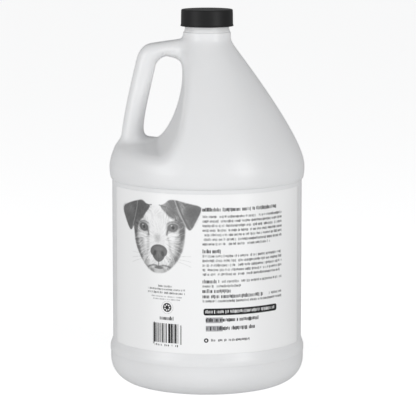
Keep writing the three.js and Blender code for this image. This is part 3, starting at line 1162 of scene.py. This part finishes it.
def random_value(tree, low, high, seed):
    made = tree.node("FunctionNodeRandomValue", data_type="FLOAT")
    floats = [i for i in made.inputs if i.type == "VALUE" and i.name in ("Min", "Max")]
    tree.set(floats[0], low)
    tree.set(floats[1], high)
    tree.set(made.inputs["Seed"], seed)
    return next(o for o in made.outputs if o.type == "VALUE")


def rows_of_marks(name, left, top, width, seed, rows=1, row_pitch=3.58, height=1.6, pitch=0.78,
                  stroke=0.36, last_share=1.0, gap=0.16, out=INK, material=black_ink):
    """A block of text as small upright marks, in rows with gaps."""
    tree = Tree(name)
    start = tree.socket("Left", "Float", left * MM)
    upper = tree.socket("Top", "Float", top * MM)
    line = tree.socket("Row pitch", "Float", row_pitch * MM)
    tall = tree.socket("Mark height", "Float", height * MM)
    step = tree.socket("Mark pitch", "Float", pitch * MM)
    wide = tree.socket("Mark width", "Float", stroke * MM)
    share = tree.socket("Last row share", "Float", float(last_share))
    gaps = tree.socket("Gap share", "Float", float(gap))
    radius = tree.socket("Radius", "Float", (LABEL_RADIUS + out) * MM)
    draw = tree.socket("Seed", "Int", seed)
    columns = int(width / pitch)
    index = tree.node("GeometryNodeInputIndex").outputs[0]
    row = tree.math("FLOOR", tree.math("DIVIDE", tree.add(index, 0.5), float(columns)))
    column = tree.sub(index, tree.mul(row, float(columns)))
    rise = tree.mul(tree.math("GREATER_THAN", random_value(tree, 0.0, 1.0, draw), 0.7), 0.3)
    lift = tree.mul(rise, tree.mul(tall, 0.5))
    along = tree.add(start, tree.mul(column, step))
    down = tree.sub(upper, tree.mul(row, line))
    again = tree.add(draw, 7.0)
    is_gap = tree.math("LESS_THAN", random_value(tree, 0.0, 1.0, again), gaps)
    in_last = tree.math("GREATER_THAN", row, float(rows) - 1.5)
    beyond = tree.math("GREATER_THAN", column, tree.mul(share, float(columns)))
    drop = tree.math("MAXIMUM", is_gap, tree.mul(in_last, beyond))
    position = tree.vector(along, tree.add(down, lift), 0.0)
    kept = placed_points(tree, rows * columns, position, drop)
    mark = tree.node("GeometryNodeMeshCube", Size=(1.0, 1.0, INK * MM))
    rich = tree.add(1.0, random_value(tree, -0.35, 0.6, tree.add(draw, 3.0)))
    size = tree.vector(tree.mul(wide, rich), tree.mul(tall, tree.add(1.0, rise)), 1.0)
    return tree.finish(wrap_nodes(tree, stamped(tree, kept, mark, size), radius), material)


def plate(name, left, bottom, width, height, corner_size=0.0, out=INK, material=black_ink):
    """A printed patch with round corners, wrapped by its outline and open underneath."""
    tree = Tree(name)
    radius = tree.socket("Radius", "Float", (LABEL_RADIUS + out) * MM)
    wide = tree.socket("Width", "Float", width * MM)
    tall = tree.socket("Height", "Float", height * MM)
    round_size = tree.socket("Corner", "Float", corner_size * MM)
    outline = tree.node("GeometryNodeCurvePrimitiveQuadrilateral", Width=wide, Height=tall)
    rounded = tree.node("GeometryNodeFilletCurve", mode="POLY", Count=6,
                        Curve=outline.outputs[0], Radius=round_size)
    fine = tree.node("GeometryNodeResampleCurve", mode="LENGTH", Length=0.9 * MM,
                     Curve=rounded.outputs[0])
    filled = tree.node("GeometryNodeFillCurve", Curve=fine.outputs[0])
    thick = tree.node("GeometryNodeExtrudeMesh", Mesh=filled.outputs[0], Individual=False,
                      Offset_Scale=INK * MM)
    middle = ((left + width / 2) * MM, (bottom + height / 2) * MM, 0.0)
    moved = tree.node("GeometryNodeTransform", Geometry=thick.outputs[0], Translation=middle)
    return tree.finish(wrap_nodes(tree, moved.outputs[0], radius), material)


def bars(name, left, bottom, width, height, seed, material=black_ink):
    """A block of upright bars in random widths, which encodes nothing."""
    tree = Tree(name)
    radius = tree.socket("Radius", "Float", (LABEL_RADIUS + INK) * MM)
    tall = tree.socket("Height", "Float", height * MM)
    draw = tree.socket("Seed", "Int", seed)
    count = 76
    pitch = width / count
    index = tree.node("GeometryNodeInputIndex").outputs[0]
    along = tree.add(left * MM, tree.mul(index, pitch * MM))
    ends = tree.math("MINIMUM", index, tree.sub(float(count - 1), index))
    is_guard = tree.math("LESS_THAN", ends, 2.5)
    drop = tree.mul(tree.math("LESS_THAN", random_value(tree, 0.0, 1.0, draw), 0.46),
                     tree.sub(1.0, is_guard))
    odd = tree.mul(is_guard, tree.math("COMPARE", ends, 1.0, 0.2))
    longer = tree.mul(is_guard, 1.6 * MM)
    span = tree.add(tall, longer)
    middle = tree.sub((bottom + height / 2) * MM, tree.mul(longer, 0.5))
    position = tree.vector(along, middle, 0.0)
    kept = placed_points(tree, count, position, tree.math("MAXIMUM", drop, odd))
    mark = tree.node("GeometryNodeMeshCube", Size=(pitch * 0.98 * MM, 1.0, INK * MM))
    marks = stamped(tree, kept, mark, tree.vector(1.0, span, 1.0))
    return tree.finish(wrap_nodes(tree, marks, radius), material)


def ring_of_dots(name, along, height, size, dots, dot, out=INK, material=black_ink):
    """Dots round a circle, for a plain seal."""
    tree = Tree(name)
    radius = tree.socket("Radius", "Float", (LABEL_RADIUS + out) * MM)
    circle = tree.node("GeometryNodeCurvePrimitiveCircle", Resolution=dots)
    tree.set(circle.inputs["Radius"], tree.socket("Size", "Float", size * MM))
    disc = tree.node("GeometryNodeMeshCylinder", Vertices=12, Radius=dot * MM, Depth=INK * MM)
    centre = (along * MM, height * MM, 0.0)
    moved = tree.node("GeometryNodeTransform", Geometry=stamped(tree, circle, disc),
                      Translation=centre)
    return tree.finish(wrap_nodes(tree, moved.outputs[0], radius), material)


def joined(name, objects, front=False):
    """Makes one piece of several marks. Marks for the front are turned by half a turn."""
    bm = bmesh.new()
    materials = []
    for obj in objects:
        for material in obj.data.materials:
            if material not in materials:
                materials.append(material)
        start = len(bm.faces)
        bm.from_mesh(obj.data)
        bm.faces.ensure_lookup_table()
        slot = materials.index(obj.data.materials[0])
        for face in bm.faces[start:]:
            face.material_index = slot
        bpy.data.objects.remove(obj)
    if front:
        bmesh.ops.rotate(bm, verts=bm.verts, matrix=Matrix.Rotation(math.pi, 3, "Z"))
    mesh = bpy.data.meshes.new(name)
    bm.to_mesh(mesh)
    bm.free()
    for material in materials:
        mesh.materials.append(material)
    piece = bpy.data.objects.new(name, mesh)
    scene.collection.objects.link(piece)
    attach(piece, "bottle")
    print(name, len(mesh.polygons), "faces")
    return piece


# %% Print the back label
BLOCK_LEFT = -3.1
BLOCK_WIDTH = 70.6
BOLD = {"height": 2.3, "pitch": 1.12, "stroke": 0.62, "gap": 0.12}
back_print = [
    rows_of_marks("heading", BLOCK_LEFT, 149.6, 64.0, 11, **BOLD),
    rows_of_marks("first_text", BLOCK_LEFT, 144.2, BLOCK_WIDTH, 12, rows=7, last_share=0.8),
    rows_of_marks("second_heading", BLOCK_LEFT, 116.9, 15.0, 13, **BOLD),
    rows_of_marks("second_text", BLOCK_LEFT, 113.2, BLOCK_WIDTH, 14, rows=5, last_share=0.97),
    rows_of_marks("third_start", BLOCK_LEFT, 93.2, 13.5, 15, **BOLD),
    rows_of_marks("third_line", BLOCK_LEFT + 15.0, 93.2, BLOCK_WIDTH - 15.0, 16),
    rows_of_marks("third_end", BLOCK_LEFT, 89.6, 31.5, 17),
    rows_of_marks("fourth_line", BLOCK_LEFT, 85.6, 23.5, 18, **BOLD),
    rows_of_marks("fifth_start", BLOCK_LEFT, 81.4, 51.5, 19, **BOLD),
    rows_of_marks("fifth_end", BLOCK_LEFT + 54.5, 81.4, 16.0, 20),
    rows_of_marks("sixth_line", BLOCK_LEFT, 77.8, BLOCK_WIDTH, 21),
    plate("pill", BLOCK_LEFT + 0.4, 66.7, 63.6, 5.4, corner_size=1.5),
    rows_of_marks("pill_text", BLOCK_LEFT + 2.2, 69.4, 60.5, 22, height=2.0,
                  pitch=0.98, stroke=0.42, gap=0.12, out=3.0 * INK, material=white_ink),
    plate("first_box", BLOCK_LEFT + 2.2, 60.6, 13.2, 4.4, material=grey_ink),
    rows_of_marks("first_item", BLOCK_LEFT + 2.6, 62.8, 44.0, 23, out=3.0 * INK, **BOLD),
    plate("second_box", BLOCK_LEFT + 2.2, 54.0, 13.2, 4.4, material=grey_ink),
    rows_of_marks("second_item", BLOCK_LEFT + 2.6, 56.2, 41.0, 24, out=3.0 * INK, **BOLD),
    plate("ring_outer", -2.4, 45.0, 3.6, 3.6, corner_size=1.75),
    plate("ring_inner", -1.4, 46.0, 1.6, 1.6, corner_size=0.75, out=3.0 * INK, material=white_ink),
    rows_of_marks("ring_text", 3.4, 46.8, 31.5, 25, height=1.5, pitch=0.7, stroke=0.34),
    rows_of_marks("small_text_1", -39.6, 88.3, 12.5, 26, height=1.3, pitch=0.6, stroke=0.26),
    rows_of_marks("small_text_2", -49.4, 85.9, 33.5, 27, height=1.2, pitch=0.56, stroke=0.22),
    rows_of_marks("small_text_3", -49.4, 83.2, 33.5, 28, height=1.3, pitch=0.6, stroke=0.26),
    rows_of_marks("small_text_4", -46.0, 80.2, 26.5, 29, height=0.9, pitch=0.5, stroke=0.26,
                  material=grey_ink),
    rows_of_marks("small_text_5", -44.5, 78.1, 23.5, 30, height=0.9, pitch=0.5, stroke=0.26,
                  material=grey_ink),
    ring_of_dots("seal_dots", -32.0, 71.8, 4.9, 28, 0.2),
    plate("seal", -35.6, 68.2, 7.2, 7.2, corner_size=3.55),
    ring_of_dots("seal_petals", -32.0, 71.8, 2.1, 7, 0.62, out=3.0 * INK, material=white_ink),
    rows_of_marks("bold_line", -38.2, 62.9, 12.6, 31, **BOLD),
    bars("bars", -44.6, 43.6, 24.6, 15.4, 5),
    rows_of_marks("bar_marks", -43.0, 41.6, 21.5, 33, height=1.3, pitch=1.5, stroke=0.5),
]
joined("back_print", back_print)

# %% [markdown]
# The front label has a plain layout of its own: a band, a thin line, a paw print and a few rows
# of marks. The paw's patches are wide and are wrapped by their outline only, so their middles
# dip below the film.

# %% Print the front label
PAW = ((0.0, 92.0, 27.0, 21.0), (-17.0, 108.0, 9.5, 13.0), (-6.2, 116.0, 9.5, 14.0),
       (6.2, 116.0, 9.5, 14.0), (17.0, 108.0, 9.5, 13.0))
front_print = [
    plate(f"paw_{i}", x - w / 2, z - h / 2, w, h, corner_size=min(w, h) * 0.49)
    for i, (x, z, w, h) in enumerate(PAW)
]
front_print += [
    plate("front_band", -46.0, 140.5, 92.0, 9.0, corner_size=2.0),
    plate("front_line", -46.0, 134.5, 92.0, 2.0, corner_size=0.9, material=grey_ink),
    rows_of_marks("front_text", -40.0, 70.0, 80.0, 43, rows=4, row_pitch=4.4, height=1.9,
                  pitch=0.9, stroke=0.42, last_share=0.7),
    plate("front_foot", -24.0, 43.5, 48.0, 3.0, corner_size=1.4, material=grey_ink),
]
joined("front_print", front_print, front=True)

# %% [markdown]
# ### The dog's head
# The picture on the label is the head of a small terrier in greys, drawn here from plain
# shapes. A fine sheet over the head carries one number for each point, its tone. Every patch,
# fold and shadow is painted onto those numbers with a soft brush, and short streaks that run
# along the coat are mixed in. The sheet's shader turns the number into ink.

# %% Brushes for painting tones
HEAD_ALONG = -41.0
HEAD_CELL = 0.35
HEAD_WIDTH = 80.0
HEAD_BOTTOM = 96.0
HEAD_HEIGHT = 63.0
PAPER = 1.0

head_x, head_z = np.meshgrid(
    np.arange(-HEAD_WIDTH / 2, HEAD_WIDTH / 2, HEAD_CELL),
    np.arange(HEAD_BOTTOM, HEAD_BOTTOM + HEAD_HEIGHT, HEAD_CELL),
    indexing="ij",
)
tone = np.full(head_x.shape, PAPER)


def smooth(value):
    """Zero to one with soft ends."""
    value = np.clip(value, 0.0, 1.0)
    return value * value * (3.0 - 2.0 * value)


def spot(x, z, width, height, tilt=0.0, soft=0.35):
    """A soft oval mask. The softness is a share of its size."""
    c, s = math.cos(math.radians(tilt)), math.sin(math.radians(tilt))
    dx, dz = head_x - x, head_z - z
    away = np.hypot((dx * c + dz * s) / (width / 2), (dz * c - dx * s) / (height / 2))
    return smooth((1.0 + soft / 2 - away) / soft)


def patch(corners, soft=1.0):
    """A mask inside a smooth closed outline through the corners, soft by a distance in mm."""
    corners = np.array(corners, float)
    before, after = np.roll(corners, 1, axis=0), np.roll(corners, -1, axis=0)
    outline = np.vstack([
        bezier(((a + b) / 2, b, (b + c) / 2), 5)[:-1] for a, b, c in zip(before, corners, after)
    ])
    return smooth(0.5 - outline_field(head_x, head_z, outline) / soft)


def stroke(points, width, soft=0.8):
    """A mask along a line through the points."""
    line = bezier(points, 12)
    away = np.full(head_x.shape, 1e9)
    for (ax, az), (bx, bz) in zip(line, line[1:]):
        ex, ez = bx - ax, bz - az
        t = np.clip(((head_x - ax) * ex + (head_z - az) * ez) / (ex * ex + ez * ez), 0.0, 1.0)
        away = np.minimum(away, np.hypot(head_x - ax - t * ex, head_z - az - t * ez))
    return smooth(0.5 + (width / 2 - away) / soft)


def paint(mask, value, strength=1.0):
    """Moves the tones under a mask towards a value."""
    tone[:] = tone + (value - tone) * mask * strength


def noise(u, v, seed):
    """Smooth noise between -1 and 1 on any two coordinates."""
    table = np.random.default_rng(seed).uniform(-1.0, 1.0, (64, 64))
    i, j = np.floor(u).astype(int), np.floor(v).astype(int)
    fu, fv = smooth(u - i), smooth(v - j)
    pick = [[table[(i + a) % 64, (j + b) % 64] for b in (0, 1)] for a in (0, 1)]
    low = pick[0][0] * (1 - fu) + pick[1][0] * fu
    high = pick[0][1] * (1 - fu) + pick[1][1] * fu
    return low * (1 - fv) + high * fv


def coat(x, z, fineness, length, seed):
    """Streaks that run away from a point, as the hair of a head runs away from the nose."""
    turn = np.arctan2(head_z - z, head_x - x)
    far = np.hypot(head_x - x, head_z - z)
    bend = 0.12 * noise(head_x / 6.0, head_z / 6.0, seed + 9)
    fine = noise((turn + bend) * fineness, far / length, seed)
    finer = noise((turn + bend) * fineness * 2.1, far / length * 1.6, seed + 1)
    return 0.6 * fine + 0.4 * finer


# %% Paint the head
LEFT_EAR = [(-39.8, 147.0), (-30.0, 151.3), (-20.5, 154.0), (-14.0, 155.2), (-10.0, 151.8), (-5.5, 151.6),
            (-9.5, 146.8), (-14.6, 141.5), (-19.0, 138.5), (-23.0, 136.0), (-27.4, 128.2), (-33.0, 136.0)]
RIGHT_EAR = [(1.8, 151.8), (6.8, 153.2), (10.5, 157.0), (17.0, 156.8), (27.0, 154.3), (36.5, 152.4),
             (36.8, 149.0), (33.0, 141.5), (28.2, 131.8), (24.0, 136.8), (17.0, 141.5), (9.5, 146.0)]
FACE = [(-14.0, 152.0), (-23.0, 140.0), (-23.2, 130.0), (-21.6, 119.0), (-15.5, 109.5), (-9.4, 102.0),
        (-3.0, 98.4), (5.0, 98.4), (11.5, 101.5), (20.0, 111.5), (23.6, 123.0), (23.6, 134.0),
        (20.0, 144.0), (8.0, 152.0)]
LEFT_EYE, RIGHT_EYE = (-12.6, 134.2), (13.9, 135.2)
NOSE = (1.6, 114.6)

streaks = coat(NOSE[0], 124.0, 30.0, 4.0, 3)
face = patch(FACE, 1.6)
paint(face, 0.93)
paint(face * smooth((np.abs(head_x - 1.0) - 11.5) / 11.0), 0.62, 0.75)
paint(face * smooth((111.0 - head_z) / 14.0), 0.72, 0.6)
crown = smooth((head_z - 146.0) / 6.0) * smooth(1.4 - np.abs(head_x + 1.5) / 9.0)
paint(crown, PAPER)

# the brown mask over each ear's root, brow and cheek
paint(patch([(-5.0, 151.8), (-11.0, 145.0), (-14.0, 140.4), (-17.6, 138.2), (-19.6, 131.0),
             (-22.0, 126.0), (-25.0, 138.0), (-17.0, 153.0)], 2.0), 0.33)
paint(patch([(2.6, 151.6), (7.6, 146.6), (11.6, 142.8), (16.8, 140.4), (19.0, 135.0), (19.6, 128.0),
             (22.6, 124.0), (25.0, 138.0), (18.0, 153.0)], 2.6), 0.47)
paint(face * stroke(((-22.0, 134.0), (-22.2, 124.0), (-15.4, 109.0)), 3.6, 4.4), 0.38, 0.85)
paint(face * stroke(((22.4, 136.0), (22.6, 124.0), (16.2, 110.0)), 4.2, 4.8), 0.46, 0.8)
paint(face * stroke(((-15.4, 109.5), (-11.0, 103.0), (-3.0, 99.8)), 3.0, 4.2), 0.47, 0.75)
paint(face * stroke(((16.4, 109.5), (12.6, 103.0), (6.0, 100.4)), 3.4, 4.6), 0.54, 0.7)

# soft shadows that round the muzzle and the cheeks
paint(stroke(((-9.6, 132.0), (-7.2, 124.0), (-9.2, 113.0)), 1.6, 3.6), 0.62, 0.7)
paint(stroke(((9.4, 132.0), (9.8, 124.0), (13.0, 113.5)), 1.6, 3.4), 0.64, 0.7)
paint(stroke(((-15.5, 127.0), (-14.5, 118.0), (-9.5, 107.0)), 3.4, 5.0), 0.62, 0.7)
paint(stroke(((17.5, 127.0), (17.8, 118.0), (13.0, 107.0)), 3.4, 5.0), 0.66, 0.6)
paint(spot(0.6, 126.0, 5.6, 6.0, soft=1.4), 0.68, 0.75)
paint(spot(-13.5, 128.3, 8.0, 4.6, 6.0, soft=0.9), 0.97, 0.8)
paint(spot(12.8, 128.8, 7.6, 4.8, -6.0, soft=0.9), 0.98, 0.8)
paint(spot(-4.0, 140.0, 8.0, 14.0, 8.0, soft=1.2), 0.985, 0.7)
paint(spot(-3.9, 121.0, 4.4, 9.0, soft=1.2), 0.97, 0.6)
paint(spot(8.2, 120.5, 4.6, 9.0, soft=1.2), 0.97, 0.6)
tone += face * streaks * 0.15 * smooth((np.abs(head_x - 1.0) - 2.0) / 9.0)
tone += face * streaks * 0.07

# ears, each with the flap's fold and a darker root
ear_streaks = coat(-2.0, 163.0, 48.0, 4.5, 21)
for outline, fold, value, fold_value in (
    (LEFT_EAR, ((-19.2, 154.0), (-20.8, 143.0), (-26.4, 130.5)), 0.33, 0.60),
    (RIGHT_EAR, ((15.6, 156.6), (18.6, 148.0), (25.0, 136.0)), 0.46, 0.74),
):
    ear = patch(outline, 1.1)
    shade = value + 0.13 * noise(head_x / 7.0, head_z / 7.0, 31)
    paint(ear, shade + 0.13 * ear_streaks)
    paint(ear * stroke(fold, 1.1, 1.1), fold_value, 0.85)
    paint(ear * stroke([(x + 1.3, z - 0.4) for x, z in fold], 1.2, 1.6), value - 0.12, 0.8)
paint(patch([(-18.0, 154.2), (-13.5, 155.0), (-9.5, 151.5), (-12.5, 147.0), (-17.5, 147.0)], 2.6), 0.22, 0.75)
paint(patch([(-40.0, 147.5), (-33.0, 150.5), (-27.0, 147.0), (-27.4, 130.0), (-33.0, 136.5)], 4.0), 0.30, 0.5)
paint(patch([(23.0, 151.5), (35.5, 151.5), (33.5, 143.0), (27.8, 134.0)], 6.0), 0.33, 0.55)
paint(stroke(((-12.0, 152.6), (-9.0, 151.4), (-5.0, 152.0)), 0.7, 0.9), 0.25, 0.8)
paint(stroke(((2.2, 152.2), (5.0, 151.6), (8.0, 151.0)), 0.7, 0.9), 0.35, 0.7)

# the eyes: a dark rim, a grey iris, a pupil and a small light
for (x, z), rim, iris in ((LEFT_EYE, 0.27, 0.40), (RIGHT_EYE, 0.42, 0.50)):
    tilt = -14.0 if x < 0 else 10.0
    paint(spot(x, z + 0.2, 11.0, 8.6, tilt, soft=0.7), 0.58, 0.8)
    paint(spot(x, z - 0.2, 8.8, 6.2, tilt, soft=0.4), rim)
    paint(spot(x + 0.2, z - 0.1, 5.0, 4.9, soft=0.4), iris)
    paint(spot(x + 0.2, z - 0.2, 2.7, 2.8, soft=0.6), 0.16)
    paint(spot(x - 1.0, z + 1.3, 1.5, 1.2, soft=0.6), 0.80, 0.9)
    paint(stroke(((x - 4.6, z + 2.6), (x, z + 6.0), (x + 4.6, z + 3.0)), 0.8, 1.2), 0.34, 0.6)
    inner = 1.0 if x < 0 else -1.0
    corner_line = ((x + inner * 3.4, z - 1.0), (x + inner * 4.8, z - 3.2), (x + inner * 5.0, z - 6.0))
    paint(stroke(corner_line, 1.1, 1.6), 0.34, 0.8)

# the nose with its two nostrils and the furrow, then the mouth
paint(spot(NOSE[0], NOSE[1] + 1.2, 15.0, 10.6, soft=0.14), 0.28)
nose_tip = [(-4.6, 113.0), (-2.2, 109.0), (1.6, 106.9), (5.4, 109.0), (7.6, 113.0), (1.6, 115.0)]
paint(patch(nose_tip, 1.0), 0.30)
paint(spot(NOSE[0] - 0.3, NOSE[1] + 3.2, 8.4, 3.4, soft=0.9), 0.47, 0.8)
paint(spot(NOSE[0], NOSE[1] - 1.4, 3.6, 5.4, soft=0.8), 0.50, 0.6)
for side in (-1.0, 1.0):
    paint(spot(NOSE[0] + side * 3.5, NOSE[1] - 0.5, 2.5, 4.4, side * 16.0, soft=0.6), 0.12)
    paint(spot(NOSE[0] + side * 6.0, NOSE[1] + 0.6, 2.2, 4.6, side * 20.0, soft=0.9), 0.40, 0.5)
paint(stroke(((NOSE[0], 112.8), (NOSE[0], 110.0), (NOSE[0], 104.4)), 0.5, 0.9), 0.22, 0.85)
paint(stroke(((-8.0, 103.0), (-3.0, 105.8), (NOSE[0], 103.6)), 1.0, 1.6), 0.34, 0.85)
paint(stroke(((NOSE[0], 103.6), (6.4, 105.8), (11.5, 103.6)), 1.0, 1.6), 0.36, 0.85)
paint(spot(NOSE[0] + 0.2, 102.9, 8.0, 2.2, soft=0.8), 0.30, 0.85)
paint(spot(NOSE[0] + 0.2, 100.4, 9.0, 2.6, soft=0.9), 0.74, 0.7)
for dx, dz in ((-9.0, 110.0), (-7.4, 108.0), (-10.6, 107.6), (11.6, 110.0), (10.2, 108.0), (13.2, 107.6)):
    paint(spot(dx, dz, 0.9, 0.8, soft=1.0), 0.45, 0.7)

# whiskers
for side, rise in ((-1.0, 0.6), (-1.0, -0.8), (-1.0, -2.0), (1.0, 0.6), (1.0, -0.8), (1.0, -2.0)):
    start = (NOSE[0] + side * 12.0, 111.0 + rise)
    middle = (start[0] + side * 7.0, start[1] + 0.8 * rise + 1.0)
    paint(stroke((start, middle, (start[0] + side * 15.0, start[1] + 2.2 * rise)), 0.12, 0.5), 0.55, 0.7)
grain = noise(head_x / 0.8, head_z / 0.8, 55)
tone += 0.035 * grain * smooth((PAPER - tone) / 0.1)
np.clip(tone, 0.05, PAPER, out=tone)
print("tones from", round(float(tone.min()), 2), "to", round(float(tone.max()), 2))

# %% Make the sheet and its ink


def head_sheet():
    """The sheet of the picture, without the cells that hold no ink."""
    columns = tone.shape[1]
    used = tone < PAPER - 0.004
    needed = used[:-1, :-1] | used[1:, :-1] | used[:-1, 1:] | used[1:, 1:]
    i, j = np.nonzero(needed)
    first = i * columns + j
    quads = np.stack([first, first + columns, first + columns + 1, first + 1], axis=-1)
    kept = np.unique(quads)
    x, z, value = head_x.ravel()[kept], head_z.ravel()[kept], tone.ravel()[kept]
    points = [wrap(HEAD_ALONG + a, b, INK) for a, b in zip(x, z)]
    obj = mesh_object("head_print", points, np.searchsorted(kept, quads).tolist())
    obj.data.attributes.new("tone", "FLOAT", "POINT").data.foreach_set("value", value)
    return obj


def picture_ink():
    """Ink whose grey comes from the sheet's tone. Full tone is the white of the film."""
    material, shader, node, link = new_material("picture_ink", Roughness=0.34)
    read = node("ShaderNodeAttribute")
    read.attribute_name = "tone"
    ramp = node("ShaderNodeValToRGB")
    ramp.color_ramp.elements[0].color = grey(0.004)
    ramp.color_ramp.elements[1].color = grey(0.84)
    ramp.color_ramp.elements.new(0.5).color = grey(0.19)
    link(read.outputs["Fac"], ramp.inputs["Fac"])
    link(ramp.outputs["Color"], shader.inputs["Base Color"])
    return material


head_print = head_sheet()
head_print.data.materials.append(picture_ink())
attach(head_print, "bottle")
print("head print:", len(head_print.data.polygons), "faces")
